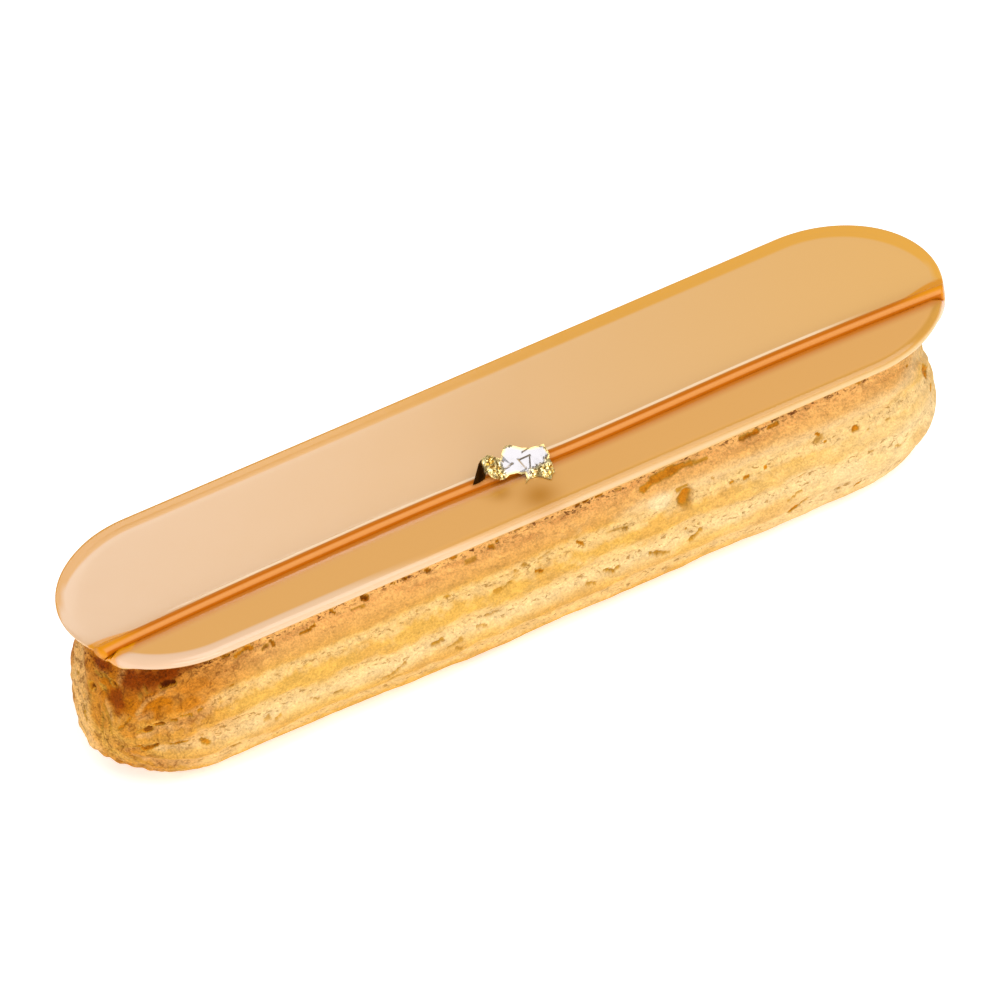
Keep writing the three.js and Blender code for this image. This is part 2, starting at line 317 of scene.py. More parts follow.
front_angles = np.concatenate(
    [
        np.linspace(-90, WALL_LOW, FLAT_STEPS + 1)[:-1],
        np.linspace(WALL_LOW, WALL_HIGH, WALL_STEPS + 1),
        np.linspace(WALL_HIGH, 90, FLAT_STEPS + 1)[1:],
    ]
)
back_angles = np.linspace(90, 270, BACK_STEPS + 1)[1:-1]
ring_angles = np.concatenate([front_angles, back_angles])
turn = np.radians(np.linspace(0, 90, CAP_RINGS + 1)[:-1])
body_x = np.linspace(-CAP_CENTRE, CAP_CENTRE, BODY_RINGS)
ring_turns = np.concatenate([turn, np.full(BODY_RINGS, np.pi / 2), turn[::-1]])
ring_x = np.concatenate(
    [np.full(CAP_RINGS, -CAP_CENTRE), body_x, np.full(CAP_RINGS, CAP_CENTRE)]
)
poles = np.where(
    (np.arange(len(ring_x)) < len(ring_x) // 2)[:, None], LEFT_POLE, RIGHT_POLE
)
poles = poles / np.linalg.norm(poles, axis=1, keepdims=True)
spin = np.radians(ring_angles)
spokes = np.stack([np.zeros_like(spin), -np.cos(spin), np.sin(spin)], axis=1)
rays = (
    np.cos(ring_turns)[:, None, None] * poles[:, None, :]
    + np.sin(ring_turns)[:, None, None] * spokes
)
rays /= np.linalg.norm(rays, axis=-1, keepdims=True)
starts = np.stack([ring_x, np.zeros_like(ring_x), np.full_like(ring_x, AXIS_Z)], axis=1)
near = np.zeros(rays.shape[:2])
far = np.full(rays.shape[:2], SEARCH_MM)
for _ in range(SEARCH_STEPS):
    middle = (near + far) / 2
    outside = outside_shell(starts[:, None, :] + middle[..., None] * rays) > 0
    far = np.where(outside, middle, far)
    near = np.where(outside, near, middle)
plain = starts[:, None, :] + near[..., None] * rays

angle = np.broadcast_to(ring_angles, near.shape)
above = np.where(angle > 90, 180 - angle, angle)
front = (angle <= 90).astype(float)
ridge_share = ease(np.degrees(ring_turns), 2, 42)[:, None]
x, y, z = np.moveaxis(plain, -1, 0)
on_wall = ease(z, 0.05, 1.5) * ease(SHELL_HEIGHT - z, 0.02, 0.3)
wander = 1.8 * lattice_noise(plain, (11, 6, 5), 3)
wander += lattice_noise(plain, (4, 3, 3), 4)
valley = (1 - np.cos(2 * np.pi * (above + wander - FIRST_CREST) / CREST_PITCH)) / 2
torn = lattice_noise(plain, (1.9, 0.9, 0.8), 5)
crumb = lattice_noise(plain, (0.8, 0.6, 0.55), 6)
swell = lattice_noise(plain, (9, 7, 7), 7)
blister = lattice_noise(plain, (3.2, 2.4, 2.2), 8)
patch = lattice_noise(plain, (6, 3.2, 2.6), 9)
flake = lattice_noise(plain, (0.55, 0.42, 0.40), 10)
rough_end = ease(-x, 50, 64)
relief = (
    -RIDGE_DEPTH * ridge_share * valley * (0.85 + 0.3 * torn + 0.25 * patch)
    + SWELL_OUT * swell
    + BLISTER_OUT * blister
    + (CRUMB_OUT * crumb + FLAKE_OUT * flake) * (0.35 + 0.65 * valley + 0.6 * rough_end)
    + TORN_OUT * rough_end * torn
)
bulge_away = np.linalg.norm(plain - BULGE, axis=-1) / BULGE_REACH
relief += BULGE_OUT * np.exp(-(bulge_away**2))
foot = ease(8 - z, 0, 6) * np.maximum(ease(-x, 18, 32), 0.5 * ease(x, 50, 60))
foot *= front * ease(72 + x + 8 * ease(z, 2, 6), 6, 10)
relief += RIGHT_OUT * ease(x, 54, 63) * ease(z, 2, 8) - FOOT_IN * foot

# The marks on the front wall, each along a line from one x and z to another: its half
# height, its depth in mm, and how dark the hollow is coloured, from 0 to 1. Olive and
# amber are baked colour, and the darkest brown is painted shade.
WALL_MARKS = [
    (20.9, 14.7, 21.7, 15.6, 1.15, 1.1, 0.42),
    (20.4, 16.6, 21.9, 16.7, 0.35, 0.4, 0.26),
    (15.5, 18.8, 17.4, 19.5, 0.5, 0.1, 0.4),
    (17.4, 19.5, 21.1, 19.8, 0.72, 0.15, 0.42),
    (21.1, 19.8, 23.6, 19.6, 0.5, 0.1, 0.38),
    (23.6, 19.6, 26.0, 19.3, 0.36, 0.1, 0.3),
    (31.9, 19.9, 33.4, 19.9, 0.42, 0.6, 0.36),
    (33.2, 20.0, 34.4, 20.0, 0.46, 0.7, 0.48),
    (36.1, 19.8, 37.7, 20.0, 0.19, 0.3, 0.5),
    (-60.8, 19.4, -59.3, 19.7, 0.55, 1.0, 1.0),
    (-62.8, 18.8, -62.8, 18.8, 0.23, 0.4, 0.8),
    (-64.8, 12.0, -64.3, 12.3, 0.34, 0.5, 0.85),
    (-63.3, 13.2, -62.7, 13.3, 0.38, 0.5, 0.75),
    (-61.1, 13.8, -60.5, 13.6, 0.23, 0.4, 0.6),
    (-59.8, 14.2, -58.2, 14.0, 0.19, 0.3, 0.5),
    (-57.2, 14.2, -56.6, 14.3, 0.19, 0.3, 0.5),
    (-65.6, 8.5, -64.0, 9.0, 0.21, 0.4, 0.6),
    (-64.2, 9.1, -64.0, 9.1, 0.3, 0.4, 0.9),
    (-62.0, 9.5, -60.0, 9.5, 0.21, 0.3, 0.5),
    (-57.7, 8.8, -57.0, 8.5, 0.45, 0.4, 0.4),
    (-53.5, 5.0, -52.2, 5.2, 0.29, 0.4, 0.27),
    (-53.7, 21.3, -53.1, 21.1, 0.16, 0.3, 0.63),
    (-51.1, 20.7, -50.4, 20.5, 0.26, 0.4, 0.6),
    (-49.4, 20.0, -47.7, 20.5, 0.23, 0.3, 0.5),
    (-47.4, 20.5, -46.8, 20.2, 0.34, 0.4, 0.5),
    (-45.5, 19.3, -44.4, 19.7, 0.21, 0.3, 0.27),
    (-43.8, 20.0, -43.6, 19.3, 0.25, 0.4, 0.5),
    (-39.3, 19.2, -37.8, 19.3, 0.17, 0.3, 0.6),
    (-37.8, 19.3, -37.0, 19.6, 0.17, 0.3, 0.7),
    (-34.1, 20.8, -33.4, 19.8, 0.16, 0.3, 0.59),
    (-31.0, 19.5, -29.2, 19.4, 0.17, 0.3, 0.26),
    (-28.9, 20.5, -28.4, 20.2, 0.45, 0.8, 0.77),
    (-51.6, 16.2, -51.1, 16.1, 0.21, 0.3, 0.5),
    (-48.0, 8.4, -47.2, 8.6, 0.24, 0.3, 0.19),
    (-46.3, 8.1, -45.5, 8.2, 0.26, 0.3, 0.22),
    (-40.5, 8.6, -39.5, 8.1, 0.14, 0.3, 0.21),
    (-36.9, 7.7, -35.8, 7.7, 0.21, 0.3, 0.22),
    (-29.2, 6.9, -28.4, 6.8, 0.32, 0.4, 0.24),
    (-28.1, 6.9, -25.6, 7.9, 0.2, 0.3, 0.2),
    (-27.9, 5.8, -26.7, 6.0, 0.29, 0.3, 0.17),
    (-24.2, 20.8, -23.7, 20.6, 0.2, 0.4, 0.77),
    (-22.4, 20.8, -21.9, 20.6, 0.2, 0.4, 0.85),
    (-18.8, 20.5, -18.2, 20.3, 0.2, 0.4, 0.63),
    (-14.7, 20.8, -14.1, 20.6, 0.21, 0.3, 0.5),
    (-8.7, 20.0, -8.2, 19.9, 0.42, 0.5, 0.44),
    (-7.4, 20.3, -7.2, 20.3, 0.17, 0.3, 0.63),
    (-12.8, 19.2, -11.3, 19.3, 0.32, 0.3, 0.23),
    (-4.2, 20.8, -3.3, 20.9, 0.21, 0.3, 0.6),
    (3.3, 20.8, 3.6, 20.8, 0.21, 0.3, 0.6),
    (5.5, 20.6, 5.8, 20.6, 0.19, 0.3, 0.63),
    (6.7, 20.8, 7.2, 20.8, 0.26, 0.5, 0.79),
    (8.7, 20.5, 9.4, 20.5, 0.17, 0.4, 0.72),
    (11.9, 20.2, 12.5, 20.1, 0.17, 0.3, 0.26),
    (-17.3, 15.6, -16.4, 15.4, 0.24, 0.3, 0.27),
    (-10.1, 13.4, -9.1, 13.4, 0.29, 0.3, 0.25),
    (-8.3, 13.6, -7.4, 13.9, 0.16, 0.3, 0.22),
    (-6.2, 15.1, -5.7, 14.9, 0.22, 0.3, 0.24),
    (-4.7, 15.4, -4.0, 14.9, 0.29, 0.3, 0.23),
    (-3.4, 13.9, -3.3, 13.9, 0.21, 0.3, 0.85),
    (-2.8, 13.6, -2.6, 13.6, 0.21, 0.3, 0.85),
    (-2.5, 15.4, -0.3, 15.6, 0.13, 0.2, 0.2),
    (3.9, 15.3, 4.7, 14.4, 0.26, 0.4, 0.58),
    (7.9, 14.4, 10.9, 14.6, 0.13, 0.2, 0.21),
    (11.2, 14.4, 11.5, 14.2, 0.21, 0.3, 0.26),
    (-20.9, 8.7, -19.2, 9.0, 0.29, 0.4, 0.26),
    (-18.7, 7.5, -16.6, 7.7, 0.22, 0.3, 0.21),
    (-17.5, 6.7, -17.0, 6.2, 0.32, 0.3, 0.19),
    (-13.8, 8.5, -12.6, 8.1, 0.22, 0.3, 0.21),
    (-12.1, 9.6, -10.1, 9.4, 0.27, 0.3, 0.19),
    (3.7, 8.1, 4.8, 7.7, 0.22, 0.3, 0.23),
    (7.0, 8.9, 8.0, 8.3, 0.29, 0.4, 0.27),
    (8.0, 8.3, 9.0, 8.5, 0.22, 0.3, 0.24),
    (14.0, 8.5, 15.3, 7.9, 0.27, 0.4, 0.27),
    (15.3, 7.9, 16.9, 7.3, 0.24, 0.3, 0.24),
    (20.2, 9.8, 20.5, 9.6, 0.23, 0.3, 0.5),
    (20.4, 7.9, 21.0, 8.3, 0.29, 0.4, 0.28),
    (21.0, 8.3, 22.3, 8.9, 0.24, 0.3, 0.25),
    (25.8, 16.3, 26.2, 16.0, 0.21, 0.3, 0.26),
    (28.1, 14.4, 28.7, 14.3, 0.17, 0.3, 0.5),
    (30.6, 14.1, 31.2, 14.1, 0.19, 0.3, 0.6),
    (33.9, 14.4, 34.0, 14.4, 0.21, 0.3, 0.6),
    (42.4, 14.9, 43.2, 15.3, 0.58, 0.4, 0.2),
    (42.8, 16.1, 43.1, 15.8, 0.28, 0.4, 0.75),
    (43.6, 14.3, 43.8, 14.3, 0.19, 0.3, 0.5),
    (48.3, 14.2, 48.8, 14.2, 0.45, 0.6, 0.44),
    (50.3, 13.4, 50.6, 13.4, 0.18, 0.3, 0.26),
    (53.9, 13.3, 54.2, 13.2, 0.16, 0.3, 0.26),
    (62.2, 14.3, 63.3, 12.2, 0.45, 0.5, 0.5),
    (62.3, 10.9, 62.7, 11.0, 0.28, 0.4, 0.5),
    (59.5, 17.6, 59.7, 17.5, 0.23, 0.4, 0.8),
    (51.0, 20.8, 51.4, 20.6, 0.17, 0.3, 0.59),
    (38.8, 10.4, 39.7, 10.5, 0.16, 0.3, 0.25),
    (49.6, 9.5, 50.5, 9.4, 0.14, 0.3, 0.23),
    (54.4, 8.1, 54.9, 7.7, 0.18, 0.3, 0.23),
    (36.0, 7.5, 38.5, 8.1, 0.16, 0.3, 0.24),
    (36.4, 4.5, 37.3, 5.1, 0.43, 0.5, 0.48),
    (37.3, 5.1, 39.2, 6.3, 0.24, 0.4, 0.26),
    (41.3, 4.5, 42.0, 4.8, 0.14, 0.3, 0.21),
    (43.6, 4.8, 44.7, 4.5, 0.2, 0.3, 0.23),
    (47.1, 3.5, 47.8, 3.9, 0.21, 0.3, 0.5),
]
# The smooth bubble beside the largest hollow: its middle x and z, its reach in both,
# and how far it stands out.
BUBBLE = (17.3, 16.2, 2.4, 2.0, 0.45)
# The holes and cracks of the left end: two points that a mark runs between, its half
# width, its depth and how dark it is coloured, the darkest brown being painted shade.
END_MARKS = [
    ((-68.6, -4.1, 17.0), (-68.6, -4.1, 17.0), 0.41, 0.7, 1.0),
    ((-66.6, -7.6, 18.6), (-66.6, -7.6, 18.6), 0.42, 0.7, 1.0),
    ((-67.9, -5.1, 18.1), (-67.6, -6.5, 17.6), 0.22, 0.2, 0.3),
    ((-67.8, -4.0, 19.2), (-67.0, -6.2, 19.5), 0.22, 0.4, 0.4),
    ((-67.0, -6.2, 19.5), (-66.6, -7.4, 18.9), 0.22, 0.3, 0.4),
    ((-67.7, -9.0, 11.7), (-66.9, -9.9, 12.7), 0.26, 0.3, 0.4),
    ((-66.9, -9.9, 12.7), (-66.0, -10.6, 14.2), 0.22, 0.3, 0.4),
    ((-65.7, -11.5, 11.8), (-64.4, -12.5, 12.7), 0.2, 0.2, 0.35),
    ((-64.2, -12.7, 12.8), (-64.2, -12.7, 12.8), 0.31, 0.4, 1.0),
    ((-68.7, -7.1, 6.8), (-67.7, -9.2, 8.7), 0.15, 0.1, 0.15),
    ((-67.7, -9.2, 8.7), (-66.2, -11.2, 9.1), 0.17, 0.1, 0.2),
    ((-66.4, -11.0, 9.1), (-66.0, -11.4, 9.1), 0.26, 0.2, 0.4),
    ((-66.0, -11.4, 9.1), (-63.9, -13.3, 9.6), 0.15, 0.1, 0.17),
    ((-63.9, -13.3, 9.6), (-63.9, -13.3, 9.6), 0.27, 0.4, 1.0),
    ((-62.8, -14.0, 9.9), (-57.5, -16.0, 9.8), 0.15, 0.1, 0.15),
    ((-66.7, -10.6, 7.4), (-64.5, -12.6, 6.5), 0.15, 0.1, 0.17),
    ((-69.8, -2.1, 12.9), (-70.0, -2.8, 10.3), 0.26, 0.3, 0.35),
    ((-69.1, -3.8, 15.8), (-69.2, -4.1, 14.4), 0.26, 0.2, 0.3),
    ((-68.6, -6.5, 13.5), (-69.2, -6.1, 10.0), 0.24, 0.3, 0.25),
    ((-68.2, -6.7, 15.1), (-68.2, -7.7, 13.0), 0.21, 0.2, 0.25),
    ((-68.2, -7.7, 13.0), (-68.4, -7.9, 10.5), 0.21, 0.2, 0.25),
    ((-69.0, 0.2, 16.8), (-69.2, 0.4, 15.0), 0.3, 0.3, 0.3),
    ((-69.0, 1.2, 19.4), (-69.3, 0.2, 16.8), 0.3, 0.4, 0.3),
    ((-63.1, -11.5, 18.9), (-63.1, -11.5, 18.9), 0.27, 0.4, 0.9),
    ((-64.4, -10.9, 17.6), (-64.0, -11.3, 18.2), 0.22, 0.2, 0.25),
]
# Raised folds of the left end, which stayed pale: two points and a half width.
END_FOLDS = [
    ((-64.7, -8.2, 21.6), (-66.0, -8.2, 19.1), 0.38),
    ((-67.9, -3.6, 20.0), (-67.0, -6.4, 20.1), 0.36),
    ((-65.0, -11.3, 14.9), (-63.3, -12.0, 17.2), 0.34),
    ((-63.3, -12.0, 17.2), (-60.9, -13.1, 18.3), 0.34),
    ((-68.0, -7.2, 16.0), (-67.9, -8.2, 13.4), 0.34),
    ((-69.6, -3.2, 17.2), (-69.6, -3.4, 12.6), 0.45),
]
# Where the left end scorched under the glaze's overhang: middle, reach in mm, share.
SCORCHES = [
    ((-66.8, -4.9, 20.9), (1.4, 2.3, 1.2), 1.0),
    ((-64.2, -9.6, 20.0), (2.3, 2.2, 2.2), 1.0),
    ((-62.0, -11.4, 20.4), (2.8, 2.0, 2.0), 1.0),
    ((-60.0, -12.3, 20.9), (2.6, 1.9, 1.7), 1.0),
    ((-57.6, -13.2, 21.4), (3.2, 1.5, 0.8), 0.7),
    ((-66.7, -8.6, 16.5), (1.4, 1.6, 2.3), 0.95),
    ((-65.4, -9.9, 18.2), (1.6, 1.6, 1.5), 0.6),
]
# Where it baked a deep amber without scorching.
AMBERS = [
    ((-62.4, -12.6, 16.3), (4.6, 3.0, 2.9), 1.0),
    ((-58.0, -14.6, 15.6), (3.4, 2.6, 1.7), 0.9),
    ((-67.3, -7.8, 3.4), (2.2, 3.2, 0.9), 0.9),
    ((-68.4, -5.4, 13.4), (2.0, 2.8, 3.4), 0.75),
    ((-66.5, -10.3, 12.3), (2.5, 2.5, 2.4), 0.7),
    ((-56.5, -14.6, 18.4), (4.5, 2.4, 1.6), 0.8),
    ((-62.6, -13.6, 12.0), (2.8, 2.2, 1.3), 0.6),
]
# The tan strip over the end that the heat reached least: low end, high end, half width.
TAN_STRIP = ((-69.8, -1.5, 7.5), (-68.8, 1.8, 18.5), 3.4)
# Heights of the row of pores under the glaze and of two pale bands along the wall.
PORE_ROW_Z = 20.5
LIGHT_BAND_Z = 16.4
LOW_BAND_Z = 8.6


def from_line(points, start, end):
    """Distance of each point from the straight line between two points."""
    run = np.subtract(end, start).astype(float)
    share_along = np.clip((points - start) @ run / max(run @ run, 1e-9), 0, 1)
    return np.linalg.norm(points - start - share_along[..., None] * run, axis=-1)


def browned(spots, fade):
    """How far the spots browned each place, from 0 to 1. The distance from a spot's
    middle is a share of its reach in x, y and z, and its edge fades and is ragged."""
    most = np.zeros_like(x)
    for spot_middle, reach, spot_share in spots:
        away = np.linalg.norm((placed - np.array(spot_middle)) / np.array(reach), axis=-1)
        away += 0.25 * torn + 0.2 * blister
        most = np.maximum(most, spot_share * ease(1.25 - away, 0, fade))
    return most


placed = plain + SHELL_MIDDLE
hollow = np.zeros_like(x)
wall_plan = placed[..., [0, 2]]
for x0, z0, x1, z1, half_height, deep, dark in WALL_MARKS:
    away = from_line(wall_plan, (x0, z0), (x1, z1)) / half_height
    away += (0.12 * torn + 0.11 * crumb + 0.08 * flake) / max(half_height, 0.25)
    relief -= deep * np.clip(1 - away, 0, 1) ** 0.5 * front
    soft = 0.25 + 0.5 * half_height
    hollow = np.maximum(hollow, dark * ease(1.15 - away, 0, soft) * front)
for start, end, half_width, deep, dark in END_MARKS:
    away = from_line(placed, start, end) / half_width
    away += 0.55 * crumb + 0.45 * flake + 0.30 * torn
    relief -= deep * ease(1.3 - away, 0, 1)
    hollow = np.maximum(hollow, dark * ease(1.25 - away, 0, 0.4))
folded = np.zeros_like(x)
for start, end, half_width in END_FOLDS:
    away = from_line(placed, start, end) / half_width + 0.3 * crumb + 0.3 * torn
    folded = np.maximum(folded, ease(1.6 - away, 0, 1.2))
relief += FOLD_OUT * folded
bubble_away = np.hypot(
    (placed[..., 0] - BUBBLE[0]) / BUBBLE[2], (z - BUBBLE[1]) / BUBBLE[3]
)
bubble = ease(1 - bubble_away, 0, 0.6) * front * (1 - ease(hollow, 0.1, 0.4))
relief += BUBBLE[4] * bubble

shell_points = plain + (relief * on_wall)[..., None] * rays
shell_points[..., 2] = np.maximum(shell_points[..., 2], 0)
shell_points += SHELL_MIDDLE
shell_points[..., 0] = np.maximum(shell_points[..., 0], SHELL_LEFT_X)

# What the oven did to each place: how much is smooth ridge, how brown it is, and where
# it scorched; and two painted marks, the shade of the pore row under the glaze and the
# light painted on the crust under its overhang.
open_share = ridge_share * valley * (1 - ease(z + 1.3 * patch + 0.7 * torn, 14.4, 17.2))
crest = 1 - ease(
    open_share + 0.26 * torn + 0.22 * crumb + 0.34 * patch + 0.12 * flake, 0.16, 0.94
)
tear = ease(open_share + 0.2 * torn + 0.25 * patch, 0.40, 0.90)
# Painted shade: the row of pores just under the glaze is painted dark, as pores in the
# overhang's shadow.
pore_row_shade = np.exp(-(((z - PORE_ROW_Z + 0.4 * patch) / 0.8) ** 2))
pore_row_shade *= on_wall * (hollow < 0.1)
warm = ease(z + 0.8 * patch, 14.6, 17.0) + 0.45 * ease(swell + 0.5 * blister, 0.15, 0.8)
left_end = ease(-placed[..., 0] + 0.5 * (z - 12) + 3.0 * swell + 1.5 * blister, 46, 64)
rough = np.clip(0.12 + 0.25 * ease(z, 16, 19) + 0.75 * left_end, 0, 1)
tan_away = from_line(placed, TAN_STRIP[0], TAN_STRIP[1]) / TAN_STRIP[2]
tan = ease(1.4 - tan_away + 0.25 * torn + 0.25 * blister, 0, 0.8)
# Painted light: the crust under the glaze's overhang is painted paler, which cancels most
# of the overhang's shadow on the wall.
under_glaze_light = ease(z + 0.4 * torn, 16.4, 20.2) * (1 - 0.8 * left_end)
bake = left_end * (0.46 + 0.45 * ease(z, 9, 17) + 0.25 * patch + 0.15 * blister)
bake = np.maximum(bake, browned(AMBERS, 0.8))
scorch = browned(SCORCHES, 0.6)
pale = ease(placed[..., 0], 10, 60) * ease(14 - z, -5, 9) * (0.8 + 0.4 * patch)
low_band = np.exp(-(((z - LOW_BAND_Z + 0.5 * patch) / 1.5) ** 2))
pale = np.maximum(pale, 0.50 * low_band * (1 - left_end))
light_band = np.exp(-(((z - LIGHT_BAND_Z + 0.5 * patch + 0.3 * torn) / 1.2) ** 2))
pale = np.maximum(pale, 0.56 * light_band * ease(placed[..., 0], 8, 15))
pale = np.maximum(pale, 0.25 * folded)

shell = surface(
    "choux_crust",
    shell_points.reshape(-1, 3),
    ring_grid(*near.shape),
    {
        "crest": crest,
        "warm": np.clip(warm, 0, 1),
        "under_glaze_light": under_glaze_light,
        "tan": tan * (0.85 + 0.5 * patch),
        "bake": np.clip(bake, 0, 1) * (1 - 0.4 * folded) * (1 - 0.75 * tan),
        "hollow": hollow,
        "pale": np.clip(pale + 0.7 * bubble, 0, 1),
        "scorch": scorch * (1 - 0.7 * folded),
        "tear": tear,
        "pore_row_shade": pore_row_shade,
        "rough": rough,
    },
)

# Choux crust is a dry, matt, egg-rich skin. The eye reads smooth golden ridges, paler
# and finely holed valleys between them, and amber to brown hollows. The brown of the
# deepest hollows and of the pore row under the glaze is painted shade, and the peach
# under the glaze is painted light where the overhang shades the wall.
RIDGE_GOLD = "#CB9C48"
RIDGE_ORANGE = "#C08D46"
CRUMB_CREAM = "#D9B272"
PALE_CREAM = "#DBBF8E"
# Painted light: the peach that lifts the crust under the glaze's overhang.
UNDER_GLAZE_LIGHT_PEACH = "#E6AE65"
END_TAN = "#E2B26C"
BAKED_ORANGE = "#B2690C"
SCORCHED_BROWN = "#7E3602"
HOLLOW_OLIVE = "#B2822E"
HOLLOW_AMBER = "#C27C1A"
TORN_OLIVE = "#9A7030"
# Painted shade: the brown of the deepest hollows and of the pores under the glaze.
HOLLOW_SHADE_BROWN = "#5A2406"
CRACK_BROWN = "#7A3C0C"
GRAIN_MM = 0.32
MOTTLE_MM = 1.5
SLIT_MM = 0.62
PORE_MM = 0.42
CRACK_MM = 2.4
CRACK_WIDTH = 0.075
BEND_MM = 1.8
BEND_REACH_MM = 2.2


def add_node(tree, kind, output, inputs=None, **settings):
    """Adds a shader node of a kind, with its inputs filled and its properties set, and
    gives back one of its outputs."""
    made = tree.nodes.new("ShaderNode" + kind)
    for name, value in settings.items():
        setattr(made, name, value)
    fill_sockets(tree, made, inputs or {})
    return made.outputs[output]


def layered(tree, tone, *layers):
    """Lays colours over a tone. Each goes by a mark of the mesh or another node's
    output: none of it at 0 and all of it at 1, or at the two values given."""
    for guide, colour, *span in layers:
        start, full = span or (0, 1)
        if isinstance(guide, str):
            guide = add_node(tree, "Attribute", "Fac", attribute_name=guide)
        share = add_node(
            tree, "MapRange", "Result",
            {"Value": guide, "From Min": start, "From Max": full},
        )
        tone = add_node(
            tree, "Mix", 2, {0: share, 6: rgba(tone), 7: rgba(colour)}, data_type="RGBA"
        )
    return tone


crust, tree, skin = new_material("baked_choux_crust")
place = add_node(tree, "TexCoord", "Object")
stretched = add_node(
    tree, "Mapping", "Vector", {"Vector": place, "Scale": (0.6, 1.0, 1.2)}
)
grain = add_node(
    tree, "TexNoise", "Fac",
    {"Vector": place, "Scale": 1 / (GRAIN_MM * MM), "Detail": 3.0, "Roughness": 0.6},
)
mottle = add_node(
    tree, "TexNoise", "Fac",
    {
        "Vector": stretched,
        "Scale": 1 / (MOTTLE_MM * MM),
        "Detail": 6.0,
        "Roughness": 0.72,
    },
)
ridge_tone = layered(tree, RIDGE_GOLD, ("warm", RIDGE_ORANGE))
tone = layered(
    tree,
    CRUMB_CREAM,
    ("crest", ridge_tone),
    ("pale", PALE_CREAM),
    ("under_glaze_light", UNDER_GLAZE_LIGHT_PEACH),
    ("tan", END_TAN),
    ("bake", BAKED_ORANGE),
    ("hollow", HOLLOW_OLIVE, 0, 0.26),
    ("hollow", HOLLOW_AMBER, 0.28, 0.40),
    ("scorch", SCORCHED_BROWN),
    ("hollow", HOLLOW_SHADE_BROWN, 0.45, 1),
)
open_marks = []
for zone, size, low, high, depth, colour in (
    ("tear", SLIT_MM, 0.58, 0.66, 0.75, TORN_OLIVE),
    ("tear", 0.45 * SLIT_MM, 0.59, 0.69, 0.60, TORN_OLIVE),
    ("pore_row_shade", PORE_MM, 0.54, 0.62, 0.90, HOLLOW_SHADE_BROWN),
    ("rough", 0.8 * SLIT_MM, 0.62, 0.70, 0.70, CRACK_BROWN),
):
    opening = add_node(
        tree, "TexNoise", "Fac",
        {
            "Vector": stretched,
            "Scale": 1 / (size * MM),
            "Detail": 3.0,
            "Roughness": 0.6,
            "Distortion": 0.6,
        },
    )
    opened = add_node(
        tree, "MapRange", "Result",
        {"Value": opening, "From Min": low, "From Max": high, "To Max": depth},
        interpolation_type="SMOOTHSTEP",
    )
    zone_mark = add_node(tree, "Attribute", "Fac", attribute_name=zone)
    opened_share = add_node(
        tree, "Math", 0, {0: opened, 1: zone_mark}, operation="MULTIPLY"
    )
    tone = layered(tree, tone, (opened_share, colour))
    open_marks.append(opened_share)
bend = add_node(
    tree, "TexNoise", "Color",
    {"Vector": place, "Scale": 1 / (BEND_MM * MM), "Detail": 2.0},
)
bent_place = add_node(
    tree, "VectorMath", "Vector",
    {0: bend, 1: (BEND_REACH_MM * MM,) * 3, 2: place},
    operation="MULTIPLY_ADD",
)
drawn_place = add_node(
    tree, "Mapping", "Vector", {"Vector": bent_place, "Scale": (1.0, 1.0, 0.5)}
)
cell_edge = add_node(
    tree, "TexVoronoi", "Distance",
    {"Vector": drawn_place, "Scale": 1 / (CRACK_MM * MM)},
    feature="DISTANCE_TO_EDGE",
)
crack = add_node(
    tree, "MapRange", "Result",
    {"Value": cell_edge, "From Min": CRACK_WIDTH, "From Max": 0.0},
)
broken = add_node(
    tree, "MapRange", "Result",
    {"Value": mottle, "From Min": 0.52, "From Max": 0.44, "To Max": 0.60},
)
rough_share = add_node(tree, "Attribute", "Fac", attribute_name="rough")
broken_crack = add_node(tree, "Math", 0, {0: crack, 1: broken}, operation="MULTIPLY")
crack_share = add_node(
    tree, "Math", 0, {0: broken_crack, 1: rough_share}, operation="MULTIPLY"
)
tone = layered(tree, tone, (crack_share, CRACK_BROWN))
open_marks.append(crack_share)
opened_all = open_marks[0]
for open_mark in open_marks[1:]:
    opened_all = add_node(
        tree, "Math", 0, {0: opened_all, 1: open_mark}, operation="MAXIMUM"
    )
mottle_gain = add_node(
    tree, "MapRange", "Result",
    {"Value": mottle, "From Min": 0.3, "From Max": 0.7, "To Min": 0.78, "To Max": 1.16},
)
mottled = add_node(
    tree, "VectorMath", "Vector", {0: tone, "Scale": mottle_gain}, operation="SCALE"
)
grain_swing = add_node(
    tree, "Math", 0, {0: rough_share, 1: 0.55, 2: 0.95}, operation="MULTIPLY_ADD"
)
grain_off = add_node(tree, "Math", 0, {0: grain, 1: 0.5}, operation="SUBTRACT")
grain_gain = add_node(
    tree, "Math", 0, {0: grain_off, 1: grain_swing, 2: 1.0}, operation="MULTIPLY_ADD"
)
crust_colour = add_node(
    tree, "VectorMath", "Vector", {0: mottled, "Scale": grain_gain}, operation="SCALE"
)
# Three bumps, each on top of the one before: what they follow, strength, rise in mm.
bumped = {}
for height, strength, rise in (
    (opened_all, 0.6, -0.2),
    (mottle, 0.7, 0.4),
    (grain, 0.5, 0.10),
):
    bumped |= {"Height": height, "Strength": strength, "Distance": rise * MM}
    bumped["Normal"] = add_node(tree, "Bump", "Normal", bumped)
skin_inputs = {
    "Base Color": crust_colour,
    "Normal": bumped["Normal"],
    "Roughness": 0.62,
    "Specular IOR Level": 0.03,
}
fill_sockets(tree, skin, skin_inputs)
shell.data.materials.append(crust)
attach(shell, "root")
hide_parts("choux_shell")


